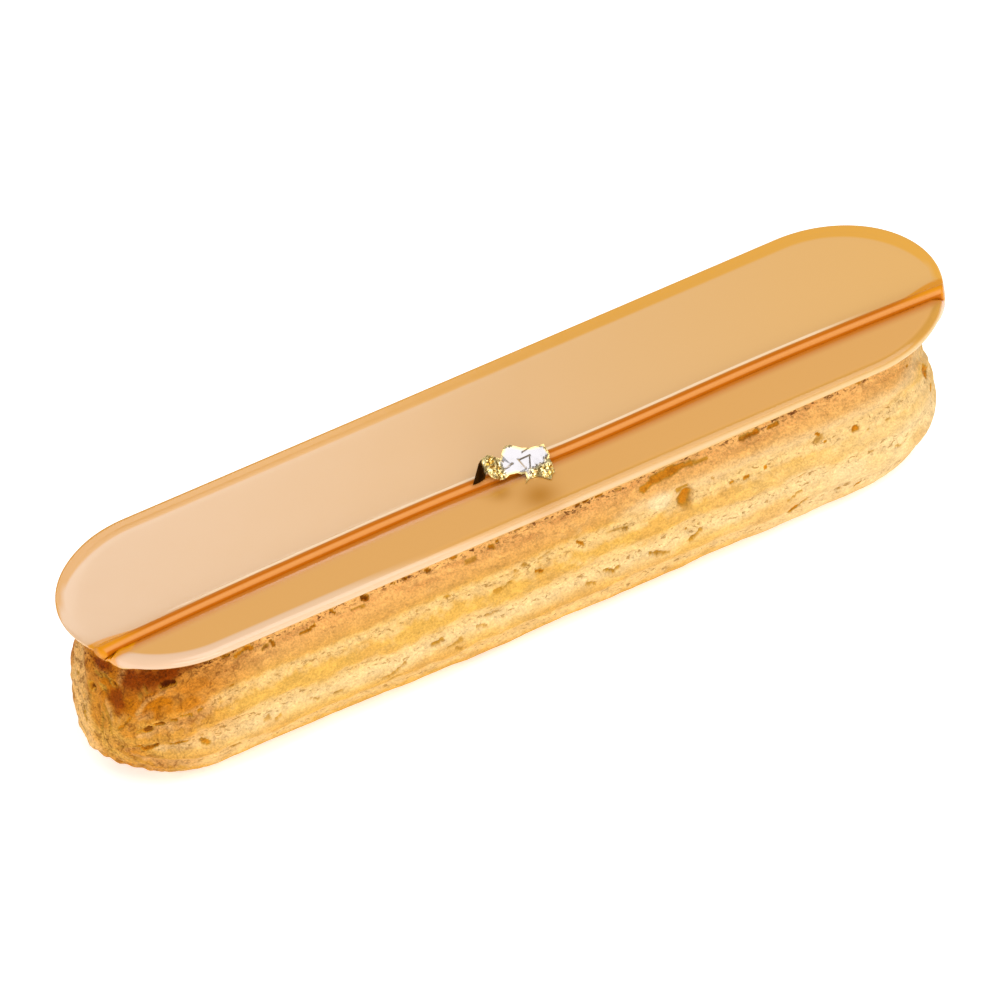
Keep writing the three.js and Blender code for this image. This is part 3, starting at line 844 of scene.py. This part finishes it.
# The glaze is a plaque of set caramel icing, poured in a long round-ended mould, so it
# is flat and glossy with a rounded rim. A groove along it takes the caramel strand.
GLAZE_MIDDLE_X = 0.35
GLAZE_HALF_LENGTH = 70.0
GLAZE_HALF_WIDTH = 17.3
GLAZE_BOTTOM_Z = 23.4
GLAZE_TOP_Z = 25.8
RIM_WIDTH = 1.7
RIM_STEPS = 22
FRONT_ROUND = 2.0
SHARP_ROUND = 6.0
SHOULDER_WIDTH = 2.4
SHOULDER_DROP = 0.10
BAND_WIDTH = 3.1
DRIP = 0.42
DRIP_X = 22.0
DRIP_REACH = 27.0
FRONT_SLOPE = 0.06
FRONT_SLOPE_START = -9.0
GROOVE_RADIUS = 1.3
STRAND_FIT = 0.88
LIP_PLACE = 1.85
LIP_HEIGHT = 0.08
GROOVE_DIP = 0.05
GLAZE_CAP_ROWS = 100
GLAZE_BODY_ROWS = 220
ACROSS_STEPS = 118
UNDERSIDE_STEPS = 8
STRAND_SHARE = np.array([-0.5, -0.3, -0.1, 0.06, 0.3, 0.5])
STRAND_Y = np.array([-8.2, -7.3, -7.0, -7.75, -7.4, -8.1])
STRAND_LENGTH = 137.0
STRAND_RADIUS = 1.0
STRAND_AXIS_Z = 25.85
STRAND_END_DROP = 0.15


def strand_y(length_share):
    """The strand's y in mm at a share of its length from -0.5 to 0.5: a smooth curve
    through the points it was laid along, by cubic Hermite pieces."""
    slope = np.gradient(STRAND_Y, STRAND_SHARE)
    share = np.clip(length_share, STRAND_SHARE[0], STRAND_SHARE[-1])
    piece = np.clip(
        np.searchsorted(STRAND_SHARE, share, side="right") - 1, 0, len(STRAND_Y) - 2
    )
    span = STRAND_SHARE[piece + 1] - STRAND_SHARE[piece]
    t = (share - STRAND_SHARE[piece]) / span
    return (
        (2 * t**3 - 3 * t**2 + 1) * STRAND_Y[piece]
        + (t**3 - 2 * t**2 + t) * span * slope[piece]
        + (3 * t**2 - 2 * t**3) * STRAND_Y[piece + 1]
        + (t**3 - t**2) * span * slope[piece + 1]
    )


def glaze_height(x, y, inset):
    """Height of the glaze's upper face in mm: level, sloping down towards the front,
    falling by a parabola within the shoulder of the rim, and cut by the groove, which
    is round under the strand, soft before it and has a small lip behind it."""
    front_run = np.maximum(FRONT_SLOPE_START - y, 0)
    height = GLAZE_TOP_Z - FRONT_SLOPE * front_run**2 / (front_run + 0.8)
    back_share = ease(y, -4, 6)
    height -= SHOULDER_DROP * back_share * np.clip(1 - inset / SHOULDER_WIDTH, 0, 1) ** 2
    off = y - strand_y((x - GLAZE_MIDDLE_X) / STRAND_LENGTH)
    lip_fade = 1 - ease(abs(x - GLAZE_MIDDLE_X), 46, 58)
    height += LIP_HEIGHT * lip_fade * np.exp(-(((off - LIP_PLACE) / 0.20) ** 2))
    height -= GROOVE_DIP * ease(off, -3.4, -1.0) * (1 - ease(off, -1.0, 0.0))
    reach = np.where(off > 0, GROOVE_RADIUS, STRAND_FIT)
    return height - np.sqrt(np.maximum(reach**2 - off**2, 0))


inner_radius = GLAZE_HALF_WIDTH - RIM_WIDTH
glaze_cap_centre = GLAZE_HALF_LENGTH - GLAZE_HALF_WIDTH
cap_turn = np.linspace(0, np.pi / 2, GLAZE_CAP_ROWS + 1)[1:]
past_centre = inner_radius * np.sin(cap_turn)
row_x = np.concatenate(
    [
        -glaze_cap_centre - past_centre[::-1],
        np.linspace(-glaze_cap_centre, glaze_cap_centre, GLAZE_BODY_ROWS),
        glaze_cap_centre + past_centre,
    ]
)
past = np.maximum(abs(row_x) - glaze_cap_centre, 0)
row_half = np.sqrt(np.maximum(inner_radius**2 - past**2, 0))
row_half[[0, -1]] = 0
fine = np.linspace(-1, 1, 2001)
near_groove = np.exp(-(((fine + 0.47) / 0.13) ** 2))
near_rim = np.exp(-((1 - abs(fine)) / 0.08))
crowding = np.cumsum(1 + 3.5 * near_groove + 1.5 * near_rim)
steps = np.linspace(crowding[0], crowding[-1], ACROSS_STEPS + 1)
across = np.interp(steps, crowding, fine)
underside = np.linspace(1, -1, UNDERSIDE_STEPS + 1)
rim_turn = np.linspace(0, np.pi, RIM_STEPS + 1)[1:-1]

top_x = np.broadcast_to(row_x[:, None], (len(row_x), len(across)))
top_y = row_half[:, None] * across
top_inset = GLAZE_HALF_WIDTH - np.hypot(past[:, None], top_y)
top_z = glaze_height(top_x, top_y, top_inset - RIM_WIDTH)
outward_x = np.sign(row_x) * past / inner_radius
outward_y = row_half / inner_radius


def rim_run(side, column):
    """The rim beside one end of each row, from top to underside: half a superellipse
    that stands out square to the outline. It is an ellipse along the front, where the
    glaze ran over the mould's edge, and nearly square at the ends and the back. Round
    the left end its lower side draws in, so the edge there is thin."""
    edge_z = top_z[:, column, None]
    half = (edge_z - GLAZE_BOTTOM_Z) / 2
    forward = ease(-side * outward_y[:, None], 0.56, 0.74)
    power = 2 / (SHARP_ROUND + (FRONT_ROUND - SHARP_ROUND) * forward)
    out = RIM_WIDTH * np.sin(rim_turn) ** power
    up = np.sign(np.cos(rim_turn)) * abs(np.cos(rim_turn)) ** power
    row_off = top_y[:, column] - strand_y(row_x / STRAND_LENGTH)
    undercut = ease(-outward_x, 0.30, 0.60) * ease(row_off, -2.2, 2.0)
    out = out * (1 - undercut[:, None] * (1 - up) / 2)
    sag = DRIP * np.exp(-(((row_x - DRIP_X) / DRIP_REACH) ** 2)) * (side < 0)
    return np.stack(
        [
            row_x[:, None] + outward_x[:, None] * out,
            top_y[:, column, None] + side * outward_y[:, None] * out,
            GLAZE_BOTTOM_Z + half + half * up - sag[:, None] * (1 - up) / 2,
        ],
        axis=-1,
    )


top_run = np.stack([top_x, top_y, top_z], axis=-1)
under_run = np.stack(
    [
        np.broadcast_to(row_x[:, None], (len(row_x), len(underside))),
        row_half[:, None] * underside,
        np.full((len(row_x), len(underside)), GLAZE_BOTTOM_Z),
    ],
    axis=-1,
)
glaze_points = np.concatenate(
    [top_run, rim_run(1, -1), under_run, rim_run(-1, 0)[:, ::-1]], axis=1
)
# Marks for the colour: the front rim's upper roll, paler as a painted highlight added
# to the lamps' own, and its golden lower lip; the shoulder above the roll, darker as
# painted shade; the clear golden band along the back edge; a painted highlight on the
# lip behind the groove; and painted shade of the strand on the glaze before the groove.
plan_x, plan_y, plan_z = np.moveaxis(glaze_points, -1, 0)
plan_past = np.sign(plan_x) * np.maximum(abs(plan_x) - glaze_cap_centre, 0)
plan_reach = np.hypot(plan_past, plan_y)
away_share = (0.30 * plan_past + 0.95 * plan_y) / np.maximum(plan_reach, 1)
band_width = BAND_WIDTH * ease(away_share, -0.45, 0.95) ** 0.8
edge_inset = GLAZE_HALF_WIDTH - plan_reach
band_mark = ease(band_width - edge_inset, -0.25, 0.35) * ease(band_width, 0.1, 0.6)
groove_off = plan_y - strand_y(plan_x / STRAND_LENGTH)
roll_top = GLAZE_BOTTOM_Z + np.interp(plan_x, (-45, -27, -8, 30), (2.6, 1.95, 1.50, 1.45))
# Painted highlight: the front rim's upper roll is painted paler, added to the real
# highlight the lamps give it.
roll_mark = (
    ease(RIM_WIDTH + 0.2 - edge_inset, 0, 0.5)
    * ease(-groove_off, 1.0, 1.6)
    * ease(roll_top - plan_z, -0.3, 0.25)
)
# Painted shade: the shoulder above the roll is painted darker, where it faces the front
# lamp.
shoulder_shade_mark = (
    ease(RIM_WIDTH - 0.40 - edge_inset, 0, 0.5)
    * ease(-groove_off, 1.0, 1.6)
    * ease(plan_x, -30, 5)
    * (1 - roll_mark)
)
lip_mark = roll_mark * ease(GLAZE_BOTTOM_Z + 0.85 - plan_z, 0, 0.4)
lip_mark *= 0.75 + 0.25 * ease(-plan_x, -10, 20)
edge_line = ease(0.35 - edge_inset, 0, 0.25) * ease(groove_off, -1.2, -0.8)
# Painted highlight: a pale line along the small lip behind the groove.
lip_highlight = (
    ease(groove_off, 1.50, 1.62)
    * (1 - ease(groove_off, 2.00, 2.15))
    * (1 - ease(abs(plan_x), 46, 58))
)
# Painted shade: the glaze just before the strand is painted browner, as the strand's
# shadow on it.
strand_shade_mark = ease(groove_off, -3.1, -1.1) * (1 - ease(groove_off, 1.30, 1.45))
ooze_width = 1.5 + 1.2 * ease(plan_x, 61, 67.5) + 1.1 * ease(-plan_x, 60, 67.5)
ooze_start = -2.7 * ease(-plan_x, 61, 64)
ooze_mark = (
    ease(abs(plan_x), 59, 62)
    * ease(groove_off - ooze_start, 0.2, 0.7)
    * (1 - ease(groove_off - ooze_width, -0.25, 0.1))
)
# The leaf's two reflections in the gloss before it: x, y, reach in both, and share.
glow_mark = np.zeros_like(plan_x)
for glow_x, glow_y, reach_x, reach_y, glow_share in (
    (-4.9, -10.6, 1.6, 1.7, 0.80),
    (-0.3, -14.2, 2.6, 2.8, 1.0),
):
    away = np.hypot((plan_x - glow_x) / reach_x, (plan_y - glow_y) / reach_y)
    glow_mark += glow_share * np.exp(-(away**2))
glaze_points[..., 0] += GLAZE_MIDDLE_X
glaze = surface(
    "caramel_glaze",
    glaze_points.reshape(-1, 3),
    ring_grid(*glaze_points.shape[:2]),
    {
        "roll": roll_mark,
        "shoulder": shoulder_shade_mark,
        "lip": lip_mark,
        "band": band_mark,
        "strand_shade": strand_shade_mark,
        "edge_line": edge_line,
        "lip_highlight": lip_highlight,
        "ooze": ooze_mark,
        "glow": glow_mark,
    },
)

# Caramel glaze is cream, sugar and gelatine: a smooth, glossy, slightly milky icing. Its
# thin rim lets light through, so it looks more golden than the flat face. Its whiter
# back half, palest at the left, is a painted reflection of the softbox behind, added to
# the veil that lamp really gives. The paler front roll and the line behind the groove
# are painted highlights, and the darker shoulder and the brown before the groove are
# painted shade.
GLAZE_TAN = "#C8934D"
GLAZE_WARM = "#CF9E56"
GLAZE_PAINTED_VEIL = "#CAA580"
GLAZE_GOLD = "#D29730"
GLAZE_AMBER = "#C08318"
GLAZE_ROLL_HIGHLIGHT = "#C7A66C"
GLAZE_SHOULDER_SHADE = "#B68230"
GLAZE_ROLL_HIGHLIGHT_LEFT = "#CFAB8D"
GLAZE_LIP = "#C69A50"
GLAZE_LIP_HIGHLIGHT = "#E8CBA4"
GLAZE_STRAND_SHADE = "#B86C1C"
GLAZE_OOZED = "#CC8404"
GLAZE_GLOW = "#A96F14"
FLOW_MM = 7.0

icing, tree, gloss = new_material("set_caramel_glaze")
place = add_node(tree, "TexCoord", "Object")
along_x = add_node(tree, "SeparateXYZ", "X", {0: place})
along_y = add_node(tree, "SeparateXYZ", "Y", {0: place})
# Painted reflection: the back half of the glaze, and the roll and band towards the left,
# turn paler and whiter, as the softbox behind reflected in the gloss.
painted_veil_left = add_node(
    tree, "MapRange", "Result",
    {"Value": along_x, "From Min": 75 * MM, "From Max": -75 * MM},
)
painted_veil_back = add_node(
    tree, "MapRange", "Result",
    {"Value": along_y, "From Min": -10 * MM, "From Max": -4 * MM},
    interpolation_type="SMOOTHSTEP",
)
back_veil_tone, roll_tone, band_tone = (
    layered(tree, right_colour, (painted_veil_left, left_colour))
    for right_colour, left_colour in (
        (GLAZE_WARM, GLAZE_PAINTED_VEIL),
        (GLAZE_ROLL_HIGHLIGHT, GLAZE_ROLL_HIGHLIGHT_LEFT),
        (GLAZE_GOLD, GLAZE_AMBER),
    )
)
glaze_tone = layered(
    tree,
    GLAZE_TAN,
    (painted_veil_back, back_veil_tone),
    ("roll", roll_tone),
    ("shoulder", GLAZE_SHOULDER_SHADE),
    ("lip", GLAZE_LIP),
    ("band", band_tone),
    ("glow", GLAZE_GLOW),
    ("strand_shade", GLAZE_STRAND_SHADE),
    ("lip_highlight", GLAZE_LIP_HIGHLIGHT),
    ("edge_line", GLAZE_GOLD),
    ("ooze", GLAZE_OOZED),
)
flow = add_node(
    tree, "TexNoise", "Fac",
    {"Vector": place, "Scale": 1 / (FLOW_MM * MM), "Detail": 2.0},
)
flow_bump = add_node(
    tree, "Bump", "Normal", {"Height": flow, "Strength": 0.15, "Distance": 0.12 * MM}
)
gloss_inputs = {
    "Base Color": glaze_tone,
    "Normal": flow_bump,
    "Roughness": 0.15,
    "IOR": 1.48,
}
fill_sockets(tree, gloss, gloss_inputs)
glaze.data.materials.append(icing)
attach(glaze, "root")
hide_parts("glaze_plaque")


# The strand is a thread of soft caramel, piped along the groove while the glaze set. It
# lies half sunk, is cut off flush with the rim, and sags a little at both ends.
STRAND_ROWS = 360
STRAND_ROUND = 40
STRAND_WAVER = 0.05
STRAND_TRIM = 0.03
# Its right end settles into the rim, so its lower half reaches down there.
END_SETTLE = 0.9

share = np.linspace(-0.5, 0.5, STRAND_ROWS - 2)
share = np.concatenate([[-0.5], share, [0.5]])[:, None]
round_turn = np.linspace(0, 2 * np.pi, STRAND_ROUND, endpoint=False)[None, :]
line = np.concatenate(
    [share * STRAND_LENGTH, strand_y(share), np.full_like(share, STRAND_AXIS_Z)], axis=1
)
radius = STRAND_RADIUS - STRAND_WAVER * (1 - lattice_noise(line, 6.0, 21)[:, None]) / 2
radius[[0, -1]] = 0
thread_y = strand_y(share) + radius * np.cos(round_turn)
settled = 1 + END_SETTLE * ease(share, 0.480, 0.495) * (np.sin(round_turn) < 0)
thread_z = (
    STRAND_AXIS_Z
    - STRAND_END_DROP * abs(2 * share) ** 24
    + radius * settled * np.sin(round_turn)
)
trimmed = GLAZE_HALF_WIDTH - STRAND_TRIM
flush_x = glaze_cap_centre + np.sqrt(trimmed**2 - thread_y**2)
thread_x = GLAZE_MIDDLE_X + 2 * share * flush_x
thread_x[[0, -1]] = thread_x[[1, -2]].mean(axis=1, keepdims=True)
# Painted highlight: a pale stripe along the strand's crown, where the key lamp would
# reflect.
crown_highlight = ease(np.cos(round_turn - np.radians(136)), 0.91, 0.975)
rear = ease(np.cos(round_turn - np.radians(56)), 0.83, 0.95)
upper_rear = ease(np.cos(round_turn - np.radians(75)), 0.5, 0.8)
end_ooze = ease(abs(share), 0.43, 0.49) * upper_rear
end_ooze = np.maximum(end_ooze, ease(abs(share), 0.497, 0.4999))
strand = surface(
    "caramel_thread",
    np.stack([thread_x, thread_y, thread_z], axis=-1).reshape(-1, 3),
    ring_grid(STRAND_ROWS, STRAND_ROUND),
    {
        "crown_highlight": np.broadcast_to(crown_highlight, thread_x.shape),
        "rear": np.maximum(0.4 * rear, end_ooze),
    },
)

# Soft caramel is boiled sugar and butter: clear amber, wet-looking and quite shiny. The
# pale stripe along its crown is a painted highlight.
CARAMEL_HIGHLIGHT = "#CA8542"
CARAMEL_AMBER = "#B66206"
CARAMEL_DEEP = "#AC5A04"
CARAMEL_GOLD = "#CB8010"
CLOUD_MM = 5.0

caramel, tree, syrup = new_material("soft_caramel")
place = add_node(tree, "TexCoord", "Object")
depth_cloud = add_node(
    tree, "TexNoise", "Fac",
    {"Vector": place, "Scale": 1 / (CLOUD_MM * MM), "Detail": 3.0},
)
syrup_tone = layered(
    tree,
    CARAMEL_AMBER,
    (depth_cloud, CARAMEL_DEEP),
    ("crown_highlight", CARAMEL_HIGHLIGHT),
    ("rear", CARAMEL_GOLD),
)
syrup_inputs = {
    "Base Color": syrup_tone,
    "Roughness": 0.30,
    "Specular IOR Level": 0.08,
    "IOR": 1.5,
}
fill_sockets(tree, syrup, syrup_inputs)
strand.data.materials.append(caramel)
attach(strand, "root")
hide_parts("caramel_strand")


# The leaf is beaten gold, far thinner than paper, picked up with a brush and dropped on
# the strand, where it stands in crumpled folds and flat mirror-like facets.
LEAF_MIDDLE = np.array([-0.5, -8.4, 27.7])
LEAF_TILT = np.radians(34.0)
LEAF_THICK = 0.05
LEAF_TOP_Z = 29.5
CRINKLE_DEPTH = 0.35
CRINKLE_MM = 0.55
LEAF_CUTS = 7
# The folds meet at these points: right and up along the leaf from its middle, and how
# far each stands off its plane, all in mm. The first ones run round the torn edge.
LEAF_POINTS = [
    (-5.2, 2.1, 0.5), (-7.1, -0.2, -0.6), (-6.2, -0.3, -0.5),
    (-5.2, -0.2, -0.2), (-4.7, 0.5, 0.2), (-4.2, -0.4, 0.0),
    (-3.4, -1.1, -0.3), (-2.6, -1.4, -0.2), (-1.7, -1.1, 0.0),
    (-0.6, -1.3, 0.0), (-0.1, -1.7, -0.1), (0.5, -1.8, -0.2),
    (0.5, -2.4, -0.3), (0.0, -3.1, -0.7), (0.8, -2.7, -0.3),
    (2.0, -2.9, -0.1), (2.7, -3.5, -0.2), (3.7, -4.0, -0.5),
    (4.1, -3.5, 0.0), (4.5, -3.4, 0.2), (4.6, -2.4, 0.3),
    (4.6, -1.3, 0.3), (4.9, -0.7, 0.3), (4.8, 0.2, 0.5),
    (4.7, 1.0, 0.6), (3.5, 1.2, 0.35), (2.8, 1.3, 0.28),
    (1.6, 1.8, 0.27), (0.2, 2.9, 0.4), (-0.6, 3.0, 0.4),
    (-1.5, 2.1, 0.3), (-1.9, 1.6, 0.1), (-2.6, 2.2, 0.5),
    (-3.6, 2.7, 0.9), (-4.4, 2.6, 0.8), (-0.8, 0.2, 0.05),
    (0.4, 0.4, 0.15), (1.5, 1.1, 0.2), (2.2, 0.4, 0.22),
    (1.5, -1.4, 0.1), (0.8, -1.2, 0.2), (3.6, -1.3, 0.3),
    (2.3, -1.7, 0.05), (-3.2, 1.0, 0.6), (-3.6, 1.7, 0.3),
    (3.6, -2.3, 0.5), (2.5, -2.5, 0.25), (-2.6, 0.1, -0.1),
    (-4.6, 1.3, 0.15),
]
LEAF_EDGE_POINTS = 35
# Sharp creases, each from one place on the leaf to another. They are dented a little and
# painted as thin dark lines of shade.
LEAF_CREASES = [
    (0.4, 0.4, 2.2, 0.4), (2.2, 0.4, 1.5, -1.4), (0.4, 0.4, 0.9, -1.3),
    (-2.0, 0.0, -0.5, 0.2), (-2.8, -0.4, -2.0, 0.0), (1.4, 1.2, 2.8, 1.4),
    (4.5, 0.5, 4.7, -0.1), (2.4, -1.4, 3.8, -1.6), (2.3, -2.1, 3.5, -1.8),
    (1.9, -2.5, 2.5, -2.2), (-2.9, 2.0, -1.6, 1.0), (-3.7, 2.6, -2.7, 2.0),
    (-4.8, 1.1, -3.4, -1.0), (-4.8, 2.3, -4.8, 1.1),
]

leaf_normal = np.array([0.0, -np.sin(LEAF_TILT), np.cos(LEAF_TILT)])
leaf_right = np.array([1.0, 0.0, 0.0])
leaf_up = np.cross(leaf_normal, leaf_right)
fold_points = np.array(LEAF_POINTS)
edge = [(i, (i + 1) % LEAF_EDGE_POINTS) for i in range(LEAF_EDGE_POINTS)]
flat_points = [Vector(point[:2]) for point in LEAF_POINTS]
laid, _, facets, sources, _, _ = delaunay_2d_cdt(flat_points, edge, [], 1, 1e-4)
lift = np.array([fold_points[source[0], 2] for source in sources])
laid = np.array([tuple(point) for point in laid])
sheet = (
    LEAF_MIDDLE
    + laid[:, :1] * leaf_right
    + laid[:, 1:] * leaf_up
    + lift[:, None] * leaf_normal
)
leaf_mesh = bpy.data.meshes.new("crumpled_gold_leaf")
leaf_mesh.from_pydata((sheet * MM).tolist(), [], facets)
shape = bmesh.new()
shape.from_mesh(leaf_mesh)
bmesh.ops.subdivide_edges(shape, edges=shape.edges[:], cuts=LEAF_CUTS, use_grid_fill=True)
bmesh.ops.triangulate(shape, faces=shape.faces[:])
bmesh.ops.recalc_face_normals(shape, faces=shape.faces)
shape.to_mesh(leaf_mesh)
shape.free()
foil_points = np.empty(len(leaf_mesh.vertices) * 3, np.float32)
leaf_mesh.vertices.foreach_get("co", foil_points)
foil_points = foil_points.reshape(-1, 3).astype(float) / MM
along_leaf = (foil_points - LEAF_MIDDLE) @ leaf_right
up_leaf = (foil_points - LEAF_MIDDLE) @ leaf_up
crumpled = np.maximum(
    ease(-along_leaf, 1.8, 2.6) * (1 - ease(-along_leaf, 4.6, 5.2)),
    ease(along_leaf, 0.6, 1.8) * ease(-up_leaf, 1.3, 2.0),
)
crumpled = np.maximum(crumpled, ease(along_leaf, 3.6, 4.3) * ease(-up_leaf, 0.6, 1.2))
crinkle = lattice_noise(foil_points, CRINKLE_MM, 32)
crinkle += 0.6 * lattice_noise(foil_points, 2 * CRINKLE_MM, 33)
leaf_plan = np.stack([along_leaf, up_leaf], axis=-1)
crease_away = [from_line(leaf_plan, crease[:2], crease[2:]) for crease in LEAF_CREASES]
creased = 1 - ease(np.min(crease_away, axis=0), 0.02, 0.13)
foil_points += (
    ((0.03 + crumpled) * CRINKLE_DEPTH * crinkle - 0.04 * creased)[:, None] * leaf_normal
)
# The foil rests on the glaze and the strand, and reaches no higher than LEAF_TOP_Z.
# Points past either limit slide along the line of sight.
rest_share = (foil_points[:, 0] - GLAZE_MIDDLE_X) / STRAND_LENGTH
rest_off = foil_points[:, 1] - strand_y(rest_share)
rest_z = np.maximum(
    GLAZE_TOP_Z - 0.05,
    STRAND_AXIS_Z + np.sqrt(np.maximum((STRAND_RADIUS + 0.05) ** 2 - rest_off**2, 0)),
)
slide = np.maximum(rest_z - foil_points[:, 2], 0)
slide += np.minimum(LEAF_TOP_Z - foil_points[:, 2], 0)
foil_points += slide[:, None] / to_camera[2] * to_camera
edge_away = [from_line(leaf_plan, *fold_points[list(ends), :2]) for ends in edge]
leaf_mesh.vertices.foreach_set("co", (foil_points * MM).astype(np.float32).ravel())
keep_marks(
    leaf_mesh,
    {
        "shaded": ease(-along_leaf, 4.5, 4.9),
        "creased": 0.8 * creased,
        "crumpled": crumpled,
        "torn_edge": 1 - ease(np.min(edge_away, axis=0), 0.12, 0.40),
    },
)
leaf_mesh.update()
leaf_mesh.shade_flat()
leaf = add_object("crumpled_gold_leaf", leaf_mesh)
thickness = leaf.modifiers.new("leaf_thickness", "SOLIDIFY")
thickness.thickness = LEAF_THICK * MM
thickness.offset = 0

# Beaten gold is a thin bright mirror. Its flat facets reflect the pale room almost
# white, and its crumpled parts glitter yellow, partly from painted glints and dark specks
# in their colour. Its creases and its flap are painted dark, as shade.
GOLD_BRIGHT = "#8E8B8D"
GOLD_PALE = "#C4AC72"
GOLD_RICH = "#F6E4A6"
GOLD_DEEP = "#9C7830"
GOLD_CREASE_SHADE = "#6A5216"
GOLD_SHADED = "#2A1503"
WRINKLE_MM = 0.5

gold, tree, foil = new_material("beaten_gold_leaf")
place = add_node(tree, "TexCoord", "Object")
wrinkle = add_node(
    tree, "TexNoise", "Fac",
    {"Vector": place, "Scale": 1 / (WRINKLE_MM * MM), "Detail": 4.0},
)
# Painted glints: the crumpled parts mix a pale and a deep gold by fine noise, adding to
# the real glitter of their crinkles.
crumpled_tone = layered(tree, GOLD_DEEP, (wrinkle, GOLD_RICH, 0.4, 0.6))
gold_colour = layered(
    tree,
    GOLD_BRIGHT,
    ("crumpled", crumpled_tone),
    ("torn_edge", GOLD_PALE),
    ("creased", GOLD_CREASE_SHADE),
    ("shaded", GOLD_SHADED),
)
wrinkle_bump = add_node(
    tree, "Bump", "Normal", {"Height": wrinkle, "Strength": 0.15, "Distance": 0.1 * MM}
)
foil_inputs = {
    "Base Color": gold_colour,
    "Normal": wrinkle_bump,
    "Metallic": 1.0,
    "Roughness": 0.24,
}
fill_sockets(tree, foil, foil_inputs)
leaf_mesh.materials.append(gold)
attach(leaf, "root")
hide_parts("gold_leaf")

bpy.context.view_layer.update()
